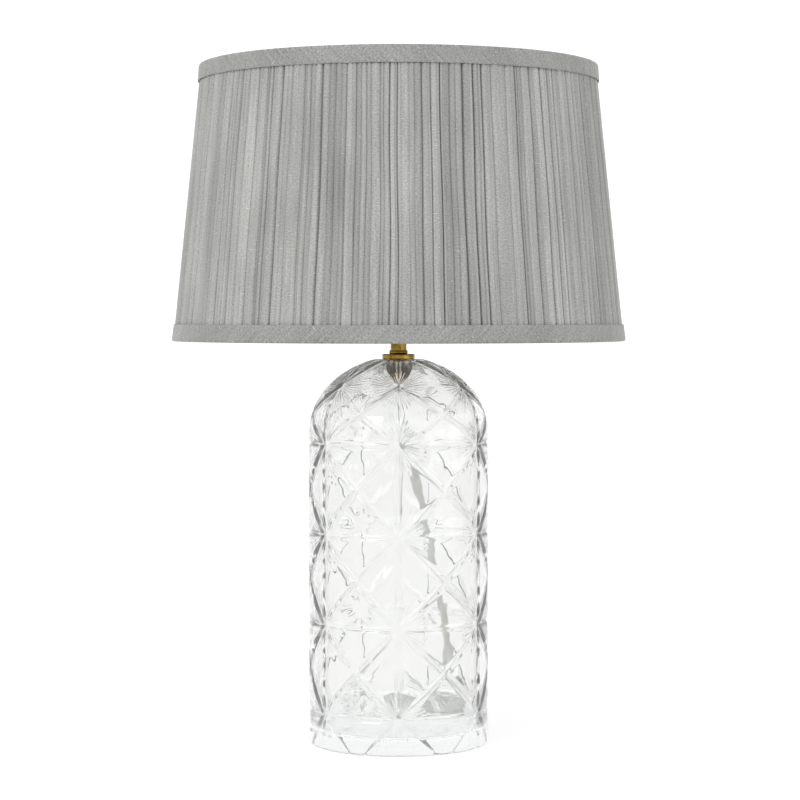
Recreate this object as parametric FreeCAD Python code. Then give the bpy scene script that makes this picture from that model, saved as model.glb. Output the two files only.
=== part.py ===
import FreeCAD, Part
import math
import os

from FreeCAD import Vector

# Table lamp: a relief-cut glass bottle with a brass neck fitting, a screw lampholder with a
# push-bar switch, a bulb, and a tapered drum shade covered in gathered cloth.
# Millimetres, +Z up. The origin is the centre of the glass foot, on the table. The front of the
# lamp is towards -Y, and the cord leaves the glass at the back right.

os.makedirs("parts", exist_ok=True)

# ---------------------------------------------------------------- driving sizes

# Glass bottle
GLASS_RADIUS = 79.5          # face of the panels on the straight wall
WALL_HEIGHT = 275.0          # where the straight wall turns into the shoulder
SHOULDER_RADIUS = 62.0
SEAT_RISE = 4.0              # of the seat above the top that the shoulder's arc would reach
SEAT_RADIUS = 20.9           # flat ground on the crown for the fitting
GLASS_WALL = 5.5
GLASS_FLOOR = 14.0
INNER_CORNER = 4.0
NECK_BORE = 10.0             # radius of the hole in the crown

# Relief cut in the glass
CUT_COLUMNS = 7
FIRST_ROW = 35.0             # height of the lowest ring of crossings
ROW_STEP = 77.8
WALL_ROWS = 4
DOME_ROW_SHARE = 0.53        # where the dome ring lies, from the last wall ring to the seat
GROOVE_DEPTH = 2.6
GROOVE_HALF_WIDTH = 2.4
PANEL_CROWN = 0.7            # how far the middle of a panel stands proud
PANEL_STEPS = 4              # facets along a panel's edge

# Cord and its way out of the glass
CORD_RADIUS = 3.0
EXIT_AZIMUTH = 40.0
EXIT_HEIGHT = 45.0
EXIT_HOLE = 5.0
BUSH_FLANGE = 7.0
BUSH_FLANGE_THICK = 2.4
BUSH_NOSE_LENGTH = 2.5
BUSH_NOSE_RADIUS = 4.3
SPOT_FACE_MARGIN = 0.4
SPOT_FACE_DEPTH = 1.7

# Stopper and brass neck fitting
STEM_RADIUS = 5.0            # M10 hollow stem
STEM_BORE = 3.6
STEM_PROUD = 1.4             # stem below the nut
BUNG_LENGTH = 13.5
BUNG_BULGE = 0.6             # how much wider than the bore it swells under the glass
BUNG_FOOT = 9.4
WASHER_RADIUS = 9.0
WASHER_THICK = 1.6
NUT_FLATS = 17.0
NUT_THICK = 4.0
SEAL_RADIUS = 13.6
SEAL_THICK = 0.5
FLANGE_RADIUS = 14.45
FLANGE_THICK = 3.9
FLANGE_ROUND = 1.0
COLLAR_RADIUS = 8.45
COLLAR_HEIGHT = 3.5
SPACER_RADIUS = 7.1
SPACER_LENGTH = 34.1

# Lampholder
CAP_RADIUS = 20.0
CAP_HEIGHT = 28.0
CAP_DOME = 13.0              # height of its rounded lower part
CAP_BOSS = 9.0
CAP_WALL = 1.5
CAP_FLOOR = 3.0
SPIGOT_LENGTH = 6.0
SPIGOT_WALL = 1.5
SHOULDER_WIDTH = 21.5
SHOULDER_THICK = 2.5
SKIRT_RADIUS = 19.5
SKIRT_WALL = 1.6
SKIRT_HEIGHT = 32.5
INSULATOR_LIFT = 0.5
INSULATOR_THICK = 8.0
LINER_WALL = 0.9
LINER_HEIGHT = 24.0
CONTACT_GAP = 0.1
SCREW_SPREAD = 8.0
SCREW_OFFSET = 4.0
SCREW_RADIUS = 2.0
SCREW_LENGTH = 4.0
GRIP_RADIUS = 6.5
GRIP_HEIGHT = 5.0
CORE_RADIUS = 1.1
CORE_SPREAD = 1.5

# Push-bar switch
BAR_RADIUS = 2.4
BAR_OFFSET = 11.0            # in front of the stem's axis
BAR_HEIGHT = 19.0            # above the foot of the cap
BAR_TRAVEL = 6.0
BAR_STAND_OFF = 1.5
KNOB_RADIUS = 3.4
KNOB_LENGTH = 5.0

# Bulb
BULB_CAP_RADIUS = 13.3
BULB_CAP_WALL = 0.9
BULB_CAP_HEIGHT = 22.0
BULB_TIP_RADIUS = 4.5
BULB_TIP_HEIGHT = 1.6
BULB_RADIUS = 30.0
BULB_GLASS_HEIGHT = 84.0
BULB_NECK_RADIUS = 13.4
BULB_WALL = 1.0
BULB_NECK_ANGLE = 40.0       # below the widest line, where the neck meets the round

# Shade
SHADE_BOTTOM = 357.0
SHADE_HEIGHT = 242.5
SHADE_BOTTOM_RADIUS = 200.0
SHADE_TOP_RADIUS = 175.0
BINDING_HEIGHT = 15.0
BINDING_INNER_HEIGHT = 11.0
BINDING_THICK = 0.9
COVER_GAP = 0.2
COVER_THICK = 0.5
PLEATS = 200
PLEAT_DEPTH = 2.4
PLEAT_UNEVEN = 0.25          # share of the depth that varies round the shade
WIRE_GAP = 0.5
RING_WIRE = 1.5
STRUT_WIRE = 1.25
STRUTS = 6
LINING_GAP = 0.4
LINING_THICK = 0.5
INNER_LEG_GAP = 0.3
ARMS = 3
ARM_WIRE = 1.75
ARM_LEVEL_RUN = 22.0
ARM_HOLE_MARGIN = 0.3
WELD_GAP = 0.1
CARRIER_OUTER = 26.0
CARRIER_THICK = 1.5
RING_NUT_RADIUS = 25.0
RING_NUT_HEIGHT = 6.0
RING_NUT_FLUTES = 24
FLUTE_RADIUS = 1.2

# Put-away cord and plug
COIL_CENTRE = Vector(27.0, 140.0, 0)
COIL_INNER = 24.2
COIL_PITCH = 7.8             # from one turn to the next
COIL_LAYER = 6.6             # from one layer to the next
COIL_HALF_TURNS_IN = 6
COIL_HALF_TURNS_OUT = 5
PLUG_LENGTH = 30.0
PLUG_WIDTH = 25.0
PLUG_THICK = 14.0
PLUG_EDGE = 3.0
RELIEF_LENGTH = 20.0
RELIEF_RADIUS = 5.2
PIN_RADIUS = 2.0
PIN_LENGTH = 19.0
PIN_SPREAD = 19.0

# Clearances
FIT = 0.1                    # still pieces one inside the other
RUNNING = 0.06               # pieces that turn or slide in each other
REST_GAP = 0.1               # flat faces of pieces that move against each other
CORD_FIT = 0.1

AXIS = Vector(0, 0, 1)
ORIGIN = Vector(0, 0, 0)

# ---------------------------------------------------------------- levels and radii that follow

INNER_RADIUS = GLASS_RADIUS - GLASS_WALL
SHOULDER_CENTRE = GLASS_RADIUS - SHOULDER_RADIUS

# The crown is the arc about the axis that runs on from the shoulder's arc, at the same tangent,
# and passes through the edge of the seat.
SEAT_LIFT = SHOULDER_RADIUS + SEAT_RISE
LIFT_EXCESS = SEAT_LIFT ** 2 - SHOULDER_RADIUS ** 2
ARC_SUM = SEAT_RADIUS ** 2 - SHOULDER_CENTRE ** 2 + LIFT_EXCESS
ARC_ROOT = math.sqrt(ARC_SUM ** 2 + 4 * SHOULDER_CENTRE ** 2 * LIFT_EXCESS)
CROWN_DROP = (SHOULDER_RADIUS * ARC_ROOT - ARC_SUM * SEAT_LIFT) / (2 * LIFT_EXCESS)
CROWN_RADIUS = SHOULDER_RADIUS + math.hypot(SHOULDER_CENTRE, CROWN_DROP)
CROWN_CENTRE = WALL_HEIGHT - CROWN_DROP
SHOULDER_SWING = math.atan2(CROWN_DROP, SHOULDER_CENTRE)
SEAT_SWING = math.acos(SEAT_RADIUS / CROWN_RADIUS)
SEAT_HEIGHT = WALL_HEIGHT + SEAT_LIFT
SHOULDER_END = WALL_HEIGHT + SHOULDER_RADIUS * SHOULDER_SWING
OUTLINE_LENGTH = SHOULDER_END + CROWN_RADIUS * (SEAT_SWING - SHOULDER_SWING)
CAVITY_TOP = CROWN_CENTRE + math.sqrt((CROWN_RADIUS - GLASS_WALL) ** 2 - NECK_BORE ** 2)

SPOT_FACE = GLASS_RADIUS - SPOT_FACE_DEPTH
BUSH_INNER = INNER_RADIUS - 1.5
BUSH_END = SPOT_FACE + BUSH_FLANGE_THICK + BUSH_NOSE_LENGTH
EXIT_OUT = Vector(math.cos(math.radians(EXIT_AZIMUTH)), math.sin(math.radians(EXIT_AZIMUTH)), 0)

FLANGE_BASE = SEAT_HEIGHT + SEAL_THICK
COLLAR_BASE = FLANGE_BASE + FLANGE_THICK
SPACER_BASE = COLLAR_BASE + COLLAR_HEIGHT
HOLDER_BASE = SPACER_BASE + SPACER_LENGTH
BUNG_BASE = SEAT_HEIGHT - BUNG_LENGTH
WASHER_BASE = BUNG_BASE - WASHER_THICK
NUT_BASE = WASHER_BASE - NUT_THICK
STEM_BASE = NUT_BASE - STEM_PROUD
STEM_TOP = HOLDER_BASE + CAP_FLOOR + 6.0
STEM_HOLE = STEM_RADIUS + FIT

CAP_TOP = HOLDER_BASE + CAP_HEIGHT
SHOULDER_TOP = CAP_TOP + SHOULDER_THICK
SKIRT_TOP = SHOULDER_TOP + SKIRT_HEIGHT
SKIRT_BORE = SKIRT_RADIUS - SKIRT_WALL
INSULATOR_BASE = CAP_TOP + INSULATOR_LIFT
INSULATOR_TOP = INSULATOR_BASE + INSULATOR_THICK
LINER_BORE = BULB_CAP_RADIUS + RUNNING
TIP_BASE = INSULATOR_TOP + 2.8
GRIP_TOP = STEM_TOP + GRIP_HEIGHT
CORD_END = GRIP_TOP + 2.0
BAR_LEVEL = HOLDER_BASE + BAR_HEIGHT
CARRIER_BASE = SHOULDER_TOP + REST_GAP
CARRIER_TOP = CARRIER_BASE + CARRIER_THICK
RING_NUT_BASE = CARRIER_TOP + REST_GAP
BULB_CAP_BASE = TIP_BASE + BULB_TIP_HEIGHT
BULB_GLASS_BASE = BULB_CAP_BASE + BULB_CAP_HEIGHT

SHADE_TOP = SHADE_BOTTOM + SHADE_HEIGHT
COVER_INSET = BINDING_THICK + COVER_GAP
WIRE_INSET = COVER_INSET + PLEAT_DEPTH + COVER_THICK + WIRE_GAP + RING_WIRE
LINING_INSET = WIRE_INSET + RING_WIRE + LINING_GAP
LEG_INSET = LINING_INSET + LINING_THICK + INNER_LEG_GAP
BINDING_DEPTH = LEG_INSET + BINDING_THICK
EDGE_GAP = 0.3
RING_LIFT = BINDING_THICK + 0.8 + RING_WIRE


# ---------------------------------------------------------------- helpers

def at(radius, height):
    """Point of an outline that is turned about the lamp's axis."""
    return Vector(radius, 0, height)


def turned(edges):
    """Solid made by a full turn of a closed outline, given as edges or as points."""
    if isinstance(edges[0], Vector):
        edges = [Part.makeLine(a, b) for a, b in zip(edges, edges[1:] + edges[:1])]
    return Part.Face(Part.Wire(edges)).revolve(ORIGIN, AXIS, 360)


def arc(centre_radius, centre_height, radius, start, end):
    """Arc in the outline's plane, from one angle to another, in radians."""
    points = []
    for angle in (start, (start + end) / 2, end):
        points.append(at(centre_radius + radius * math.cos(angle), centre_height + radius * math.sin(angle)))
    return Part.Arc(*points).toShape()


def ring(outer, inner, base, height):
    """Plain ring or tube about the lamp's axis."""
    return turned([at(inner, base), at(outer, base), at(outer, base + height), at(inner, base + height)])


def place_along(shape, start, direction):
    """Stand a shape that was made along +Z on a start point, along a direction."""
    moved = shape.copy()
    moved.Placement = FreeCAD.Placement(start, FreeCAD.Rotation(AXIS, direction))
    return moved


def corner_arcs(route):
    """Straight runs of a route joined by tangent arcs, and the arcs' radii."""
    edges = []
    radii = []
    last = route[0]
    for before, corner, after in zip(route, route[1:], route[2:]):
        back = before - corner
        ahead = after - corner
        reach = 0.45 * min(back.Length, ahead.Length)
        half_turn = (math.pi - back.getAngle(ahead)) / 2
        back.normalize()
        ahead.normalize()
        start = corner + back * reach
        end = corner + ahead * reach
        radius = reach / math.tan(half_turn)
        inward = (back + ahead).normalize()
        middle = corner + inward * (radius / math.cos(half_turn) - radius)
        edges.append(Part.LineSegment(last, start).toShape())
        edges.append(Part.Arc(start, middle, end).toShape())
        radii.append(radius)
        last = end
    edges.append(Part.LineSegment(last, route[-1]).toShape())
    return edges, radii


def swept(edges, radius, direction):
    """Round bar along a path of edges that starts in a direction."""
    start = edges[0].Vertexes[0].Point
    section = Part.Wire(Part.makeCircle(radius, start, direction))
    return Part.Wire(edges).makePipeShell([section], True, False)


def cord_tube(name, route, radius):
    """Cord along a route. Prints its length, its bends and how true its volume is."""
    edges, radii = corner_arcs(route)
    solid = swept(edges, radius, route[1] - route[0])
    length = sum(edge.Length for edge in edges)
    share = solid.Volume / (math.pi * radius ** 2 * length)
    print(name, "length", round(length, 1), "volume share", round(share, 4))
    print(name, "bend radii", [round(value, 1) for value in radii])
    return solid


def write(name, shape):
    """Write one named sub-part."""
    shape.exportStep("parts/" + name + ".step")


# ---------------------------------------------------------------- glass bottle

def glass_outline(length):
    """Radius, height and outward angle of the glass at a distance along its outline."""
    if length <= WALL_HEIGHT:
        return GLASS_RADIUS, length, 0.0
    if length <= SHOULDER_END:
        swing = (length - WALL_HEIGHT) / SHOULDER_RADIUS
        radius = SHOULDER_CENTRE + SHOULDER_RADIUS * math.cos(swing)
        return radius, WALL_HEIGHT + SHOULDER_RADIUS * math.sin(swing), swing
    swing = SHOULDER_SWING + (length - SHOULDER_END) / CROWN_RADIUS
    return CROWN_RADIUS * math.cos(swing), CROWN_CENTRE + CROWN_RADIUS * math.sin(swing), swing


def glass_point(azimuth, length, lift):
    """Point on the glass, lifted square to its outline."""
    radius, height, swing = glass_outline(length)
    radius += lift * math.cos(swing)
    height += lift * math.sin(swing)
    return Vector(radius * math.cos(azimuth), radius * math.sin(azimuth), height)


def groove_point(azimuth, length):
    """Point on the line where two panels meet: the groove's root, or the seat's edge."""
    at_seat = length > OUTLINE_LENGTH - 1e-6
    return glass_point(azimuth, length, 0.0 if at_seat else -GROOVE_DEPTH)


def mix(corners, weights):
    """Weighted mean of the three corners of a panel."""
    return tuple(sum(weight * corner[i] for weight, corner in zip(weights, corners)) for i in (0, 1))


def facet(a, b, c):
    """Flat three-cornered face."""
    return Part.Face(Part.makePolygon([a, b, c, a]))


def panel_weights(i, j):
    """Weights of the three corners at one step of a panel's grid."""
    return (1 - (i + j) / PANEL_STEPS, i / PANEL_STEPS, j / PANEL_STEPS)


def panel_faces(corners):
    """Three-cornered panel with a crowned face, bevelled down to the grooves round it."""
    mean_radius = sum(glass_outline(corner[1])[0] for corner in corners) / 3
    flat = [Vector(azimuth * mean_radius, length, 0) for azimuth, length in corners]
    sides = [(flat[1] - flat[2]).Length, (flat[2] - flat[0]).Length, (flat[0] - flat[1]).Length]
    area = (flat[1] - flat[0]).cross(flat[2] - flat[0]).Length / 2
    inradius = 2 * area / sum(sides)
    middle = mix(corners, [side / sum(sides) for side in sides])
    keep = 1 - min(GROOVE_HALF_WIDTH, 0.6 * inradius) / inradius
    inner = [tuple(middle[i] + (corner[i] - middle[i]) * keep for i in (0, 1)) for corner in corners]

    faces = []
    grid = {}
    for i in range(PANEL_STEPS + 1):
        for j in range(PANEL_STEPS + 1 - i):
            weights = panel_weights(i, j)
            azimuth, length = mix(inner, weights)
            swell = PANEL_CROWN * 27 * weights[0] * weights[1] * weights[2]
            grid[i, j] = glass_point(azimuth, length, swell)
    for i in range(PANEL_STEPS):
        for j in range(PANEL_STEPS - i):
            faces.append(facet(grid[i, j], grid[i + 1, j], grid[i, j + 1]))
            if i + j < PANEL_STEPS - 1:
                faces.append(facet(grid[i + 1, j], grid[i + 1, j + 1], grid[i, j + 1]))

    rim = [(step, 0) for step in range(PANEL_STEPS)]
    rim += [(PANEL_STEPS - step, step) for step in range(PANEL_STEPS)]
    rim += [(0, PANEL_STEPS - step) for step in range(PANEL_STEPS)]
    for (i, j), (k, m) in zip(rim, rim[1:] + rim[:1]):
        low = groove_point(*mix(corners, panel_weights(i, j)))
        high = groove_point(*mix(corners, panel_weights(k, m)))
        faces.append(facet(low, high, grid[k, m]))
        faces.append(facet(low, grid[k, m], grid[i, j]))
    return faces


def column_panels(left, right, rows):
    """Corners of the panels of one column, from the foot to the seat."""
    middle = (left + right) / 2
    first = rows[1]
    last = rows[-2]
    end = rows[-1]
    panels = [
        ((middle, 0.0), (right, first), (left, first)),
        ((left, 0.0), (middle, 0.0), (left, first)),
        ((middle, 0.0), (right, 0.0), (right, first)),
        ((left, last), (right, last), (middle, end)),
        ((left, last), (middle, end), (left, end)),
        ((right, last), (right, end), (middle, end)),
    ]
    for low, high in zip(rows[1:-2], rows[2:-1]):
        cross = (middle, (low + high) / 2)
        panels.append(((left, low), (right, low), cross))
        panels.append(((right, low), (right, high), cross))
        panels.append(((right, high), (left, high), cross))
        panels.append(((left, high), (left, low), cross))
    return panels


def level_face(length, start, pitch):
    """Flat face that closes the cut outside at the foot or at the seat."""
    count = 2 * PANEL_STEPS * CUT_COLUMNS
    points = [groove_point(start + pitch * step * CUT_COLUMNS / count, length) for step in range(count)]
    return Part.Face(Part.makePolygon(points + points[:1]))


def glass_base():
    """Bottle with rings, columns and diagonals cut between its crowned panels."""
    pitch = 2 * math.pi / CUT_COLUMNS
    start = -math.pi / 2
    last_wall_row = FIRST_ROW + ROW_STEP * (WALL_ROWS - 1)
    rows = [0.0] + [FIRST_ROW + ROW_STEP * row for row in range(WALL_ROWS)]
    rows.append(last_wall_row + DOME_ROW_SHARE * (OUTLINE_LENGTH - last_wall_row))
    rows.append(OUTLINE_LENGTH)

    faces = [level_face(0.0, start, pitch), level_face(OUTLINE_LENGTH, start, pitch)]
    for column in range(CUT_COLUMNS):
        left = start + column * pitch
        for corners in column_panels(left, left + pitch, rows):
            faces += panel_faces(corners)
    shell = Part.makeShell(faces)
    shell.sewShape()
    outside = Part.Solid(shell)
    if outside.Volume < 0:
        outside.reverse()

    inner_shoulder = SHOULDER_RADIUS - GLASS_WALL
    inner_crown = CROWN_RADIUS - GLASS_WALL
    bore_swing = math.acos(NECK_BORE / inner_crown)
    corner = INNER_RADIUS - INNER_CORNER
    above = SEAT_HEIGHT + 1.0
    cavity = turned([
        Part.makeLine(at(0, GLASS_FLOOR), at(corner, GLASS_FLOOR)),
        arc(corner, GLASS_FLOOR + INNER_CORNER, INNER_CORNER, -math.pi / 2, 0),
        Part.makeLine(at(INNER_RADIUS, GLASS_FLOOR + INNER_CORNER), at(INNER_RADIUS, WALL_HEIGHT)),
        arc(SHOULDER_CENTRE, WALL_HEIGHT, inner_shoulder, 0, SHOULDER_SWING),
        arc(0, CROWN_CENTRE, inner_crown, SHOULDER_SWING, bore_swing),
        Part.makeLine(at(NECK_BORE, CAVITY_TOP), at(NECK_BORE, above)),
        Part.makeLine(at(NECK_BORE, above), at(0, above)),
        Part.makeLine(at(0, above), at(0, GLASS_FLOOR)),
    ])
    axis_point = Vector(0, 0, EXIT_HEIGHT)
    hole = place_along(Part.makeCylinder(EXIT_HOLE, GLASS_RADIUS), axis_point + EXIT_OUT * 60, EXIT_OUT)
    spot = Part.makeCylinder(BUSH_FLANGE + SPOT_FACE_MARGIN, GLASS_RADIUS)
    spot_face = place_along(spot, axis_point + EXIT_OUT * SPOT_FACE, EXIT_OUT)
    return outside.cut(cavity).cut(hole.fuse(spot_face))


def cord_grommet():
    """Clear bush that lines the hole in the glass, with a rounded flange and a short nose."""
    body = EXIT_HOLE - FIT
    bore = CORD_RADIUS + CORD_FIT
    flange_end = SPOT_FACE + BUSH_FLANGE_THICK
    lip = 0.8
    edges = [
        Part.makeLine(at(bore, BUSH_INNER), at(body, BUSH_INNER)),
        Part.makeLine(at(body, BUSH_INNER), at(body, SPOT_FACE)),
        Part.makeLine(at(body, SPOT_FACE), at(BUSH_FLANGE, SPOT_FACE)),
        Part.makeLine(at(BUSH_FLANGE, SPOT_FACE), at(BUSH_FLANGE, flange_end - lip)),
        arc(BUSH_FLANGE - lip, flange_end - lip, lip, 0, math.pi / 2),
        Part.makeLine(at(BUSH_FLANGE - lip, flange_end), at(body, flange_end)),
        Part.makeLine(at(body, flange_end), at(BUSH_NOSE_RADIUS, BUSH_END)),
        Part.makeLine(at(BUSH_NOSE_RADIUS, BUSH_END), at(bore, BUSH_END)),
        Part.makeLine(at(bore, BUSH_END), at(bore, BUSH_INNER)),
    ]
    return place_along(turned(edges), Vector(0, 0, EXIT_HEIGHT), EXIT_OUT)


# ---------------------------------------------------------------- stopper and neck fitting

def stopper_bung():
    """Rubber stopper: a neck in the bore and a swollen body under the glass."""
    neck = NECK_BORE - FIT
    body = NECK_BORE + BUNG_BULGE
    under = CAVITY_TOP - 0.6
    return turned([
        at(STEM_HOLE, SEAT_HEIGHT - FIT), at(neck, SEAT_HEIGHT - FIT), at(neck, under), at(body, under - 1.2),
        at(body, BUNG_BASE + 3.0), at(BUNG_FOOT, BUNG_BASE), at(STEM_HOLE, BUNG_BASE),
    ])


def stopper_nut():
    """Hexagon nut with a chamfered foot, which draws the stopper together."""
    corner = NUT_FLATS / math.sqrt(3)
    points = []
    for side in range(7):
        angle = math.radians(60 * side)
        points.append(Vector(corner * math.cos(angle), corner * math.sin(angle), NUT_BASE))
    nut = Part.Face(Part.makePolygon(points)).extrude(AXIS * NUT_THICK)
    chamfer = turned([
        at(STEM_HOLE, NUT_BASE), at(NUT_FLATS / 2 - 0.4, NUT_BASE), at(corner, NUT_BASE + 1.0),
        at(corner, NUT_BASE + NUT_THICK), at(STEM_HOLE, NUT_BASE + NUT_THICK),
    ])
    return nut.common(chamfer)


def neck_flange():
    """Turned brass disc that covers the ground seat, with a rounded top edge."""
    top = FLANGE_BASE + FLANGE_THICK
    return turned([
        Part.makeLine(at(STEM_HOLE, FLANGE_BASE), at(FLANGE_RADIUS, FLANGE_BASE)),
        Part.makeLine(at(FLANGE_RADIUS, FLANGE_BASE), at(FLANGE_RADIUS, top - FLANGE_ROUND)),
        arc(FLANGE_RADIUS - FLANGE_ROUND, top - FLANGE_ROUND, FLANGE_ROUND, 0, math.pi / 2),
        Part.makeLine(at(FLANGE_RADIUS - FLANGE_ROUND, top), at(STEM_HOLE, top)),
        Part.makeLine(at(STEM_HOLE, top), at(STEM_HOLE, FLANGE_BASE)),
    ])


def collar_ring():
    """Small brass collar with two beads, one on the other."""
    bead = COLLAR_HEIGHT / 4
    centre = COLLAR_RADIUS - bead
    top = COLLAR_BASE + COLLAR_HEIGHT
    return turned([
        Part.makeLine(at(STEM_HOLE, COLLAR_BASE), at(centre, COLLAR_BASE)),
        arc(centre, COLLAR_BASE + bead, bead, -math.pi / 2, math.pi / 2),
        arc(centre, COLLAR_BASE + 3 * bead, bead, -math.pi / 2, math.pi / 2),
        Part.makeLine(at(centre, top), at(STEM_HOLE, top)),
        Part.makeLine(at(STEM_HOLE, top), at(STEM_HOLE, COLLAR_BASE)),
    ])


def neck_parts():
    """Everything that clamps the brass fitting to the glass."""
    write("stopper_bung", stopper_bung())
    write("stopper_washer", ring(WASHER_RADIUS, STEM_HOLE, WASHER_BASE, WASHER_THICK))
    write("stopper_nut", stopper_nut())
    write("neck_seal", ring(SEAL_RADIUS, STEM_HOLE, SEAT_HEIGHT, SEAL_THICK))
    write("neck_flange", neck_flange())
    write("collar_ring", collar_ring())
    write("spacer_tube", ring(SPACER_RADIUS, STEM_HOLE, SPACER_BASE, SPACER_LENGTH))
    write("threaded_stem", ring(STEM_RADIUS, STEM_BORE, STEM_BASE, STEM_TOP - STEM_BASE))
    write("cord_in_stem", Part.makeCylinder(CORD_RADIUS, CORD_END - STEM_BASE, Vector(0, 0, STEM_BASE)))


# ---------------------------------------------------------------- lampholder

def bar_hole():
    """Bore for the push bar, right through the lampholder's cap."""
    start = Vector(-2 * CAP_RADIUS, -BAR_OFFSET, BAR_LEVEL)
    return Part.makeCylinder(BAR_RADIUS + RUNNING, 4 * CAP_RADIUS, start, Vector(1, 0, 0))


def holder_cap():
    """Metal cup with a rounded foot, screwed on the stem, and bored for the push bar."""
    inner = CAP_RADIUS - CAP_WALL
    floor = HOLDER_BASE + CAP_FLOOR
    dome = HOLDER_BASE + CAP_DOME
    bow = at((CAP_BOSS + CAP_RADIUS) / 2 + 2.6, HOLDER_BASE + CAP_DOME / 2 - 2.6)
    inner_bow = at((CAP_BOSS + inner) / 2 + 2.0, floor + (dome - floor) / 2 - 2.0)
    cup = turned([
        Part.makeLine(at(STEM_HOLE, HOLDER_BASE), at(CAP_BOSS, HOLDER_BASE)),
        Part.Arc(at(CAP_BOSS, HOLDER_BASE), bow, at(CAP_RADIUS, dome)).toShape(),
        Part.makeLine(at(CAP_RADIUS, dome), at(CAP_RADIUS, CAP_TOP)),
        Part.makeLine(at(CAP_RADIUS, CAP_TOP), at(inner, CAP_TOP)),
        Part.makeLine(at(inner, CAP_TOP), at(inner, dome)),
        Part.Arc(at(inner, dome), inner_bow, at(CAP_BOSS, floor)).toShape(),
        Part.makeLine(at(CAP_BOSS, floor), at(STEM_HOLE, floor)),
        Part.makeLine(at(STEM_HOLE, floor), at(STEM_HOLE, HOLDER_BASE)),
    ])
    return cup.cut(bar_hole())


def holder_shell():
    """Skirt with a spigot in the cap and a shoulder that carries the shade."""
    spigot = CAP_RADIUS - CAP_WALL - FIT
    spigot_bore = spigot - SPIGOT_WALL
    foot = CAP_TOP - SPIGOT_LENGTH
    return turned([
        at(spigot_bore, foot), at(spigot, foot), at(spigot, CAP_TOP), at(SHOULDER_WIDTH, CAP_TOP),
        at(SHOULDER_WIDTH, SHOULDER_TOP), at(SKIRT_RADIUS, SHOULDER_TOP), at(SKIRT_RADIUS, SKIRT_TOP),
        at(SKIRT_BORE, SKIRT_TOP), at(SKIRT_BORE, INSULATOR_BASE), at(spigot_bore, INSULATOR_BASE),
    ])


def holder_insulator():
    """Ceramic disc that carries the contacts, resting on the ledge in the skirt."""
    rim = SKIRT_BORE - FIT
    groove = LINER_BORE + LINER_WALL + 1.0
    return turned([
        at(0, INSULATOR_BASE), at(rim, INSULATOR_BASE), at(rim, INSULATOR_TOP - 2.0),
        at(groove, INSULATOR_TOP), at(0, INSULATOR_TOP),
    ])


def centre_contact():
    """Springy brass tongue under the bulb's tip: a foot, a rise and a flat top."""
    top = TIP_BASE - CONTACT_GAP
    thick = 0.4
    half_width = 2.5
    outline = [
        Vector(-6.5, -half_width, INSULATOR_TOP), Vector(-3.0, -half_width, INSULATOR_TOP),
        Vector(0.5, -half_width, top - thick), Vector(4.0, -half_width, top - thick),
        Vector(4.0, -half_width, top), Vector(0.3, -half_width, top),
        Vector(-3.2, -half_width, INSULATOR_TOP + thick), Vector(-6.5, -half_width, INSULATOR_TOP + thick),
    ]
    face = Part.Face(Part.makePolygon(outline + outline[:1]))
    return face.extrude(Vector(0, 2 * half_width, 0))


def mirrored_pair(shape):
    """A piece and its mirror image across the lamp's middle plane."""
    return Part.makeCompound([shape, shape.mirror(ORIGIN, Vector(1, 0, 0))])


def terminal_screws():
    """Two terminal screws under the ceramic disc, each with a wider head."""
    head_base = INSULATOR_BASE - SCREW_LENGTH
    place = Vector(SCREW_SPREAD, SCREW_OFFSET, 0)
    screw = turned([
        at(0, head_base), at(SCREW_RADIUS + 0.8, head_base), at(SCREW_RADIUS + 0.8, head_base + 2.0),
        at(SCREW_RADIUS, head_base + 2.0), at(SCREW_RADIUS, INSULATOR_BASE), at(0, INSULATOR_BASE),
    ])
    screw.translate(place)
    return mirrored_pair(screw)


def core_wires():
    """The cord's two cores, from its cut end to the terminal screws."""
    end = INSULATOR_BASE - SCREW_LENGTH
    rise = end - CORD_END
    route = [
        Vector(CORE_SPREAD, 0, CORD_END),
        Vector(CORE_SPREAD, 0, CORD_END + 0.3 * rise),
        Vector(SCREW_SPREAD, SCREW_OFFSET, CORD_END + 0.65 * rise),
        Vector(SCREW_SPREAD, SCREW_OFFSET, end),
    ]
    edges, radii = corner_arcs(route)
    print("core_wires bend radii", [round(value, 1) for value in radii])
    return mirrored_pair(swept(edges, CORE_RADIUS, route[1] - route[0]))


def switch_bar():
    """Push bar through the cap, with a knob at each end. At rest it is pushed to the left."""
    near_edge = BAR_OFFSET - KNOB_RADIUS
    stop = math.sqrt(CAP_RADIUS ** 2 - near_edge ** 2) + BAR_STAND_OFF
    left = -(stop + BAR_TRAVEL)
    axis = Vector(1, 0, 0)
    bar = Part.makeCylinder(BAR_RADIUS, stop - left, Vector(left, -BAR_OFFSET, BAR_LEVEL), axis)
    knob = turned([
        at(0, 0), at(KNOB_RADIUS - 0.6, 0), at(KNOB_RADIUS, 0.6), at(KNOB_RADIUS, KNOB_LENGTH - 1.2),
        at(KNOB_RADIUS - 1.2, KNOB_LENGTH), at(0, KNOB_LENGTH),
    ])
    right_knob = place_along(knob, Vector(stop, -BAR_OFFSET, BAR_LEVEL), axis)
    left_knob = place_along(knob, Vector(left, -BAR_OFFSET, BAR_LEVEL), axis * -1)
    return bar.fuse([right_knob, left_knob])


def holder_parts():
    """The lampholder and its switch."""
    write("holder_cap", holder_cap())
    write("holder_shell", holder_shell())
    write("holder_insulator", holder_insulator())
    write("contact_shell", ring(LINER_BORE + LINER_WALL, LINER_BORE, INSULATOR_TOP, LINER_HEIGHT))
    write("centre_contact", centre_contact())
    write("terminal_screws", terminal_screws())
    write("core_wires", core_wires())
    write("cord_grip", ring(GRIP_RADIUS, CORD_RADIUS + CORD_FIT, STEM_TOP, GRIP_HEIGHT))
    write("switch_bar", switch_bar())


# ---------------------------------------------------------------- bulb

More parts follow.
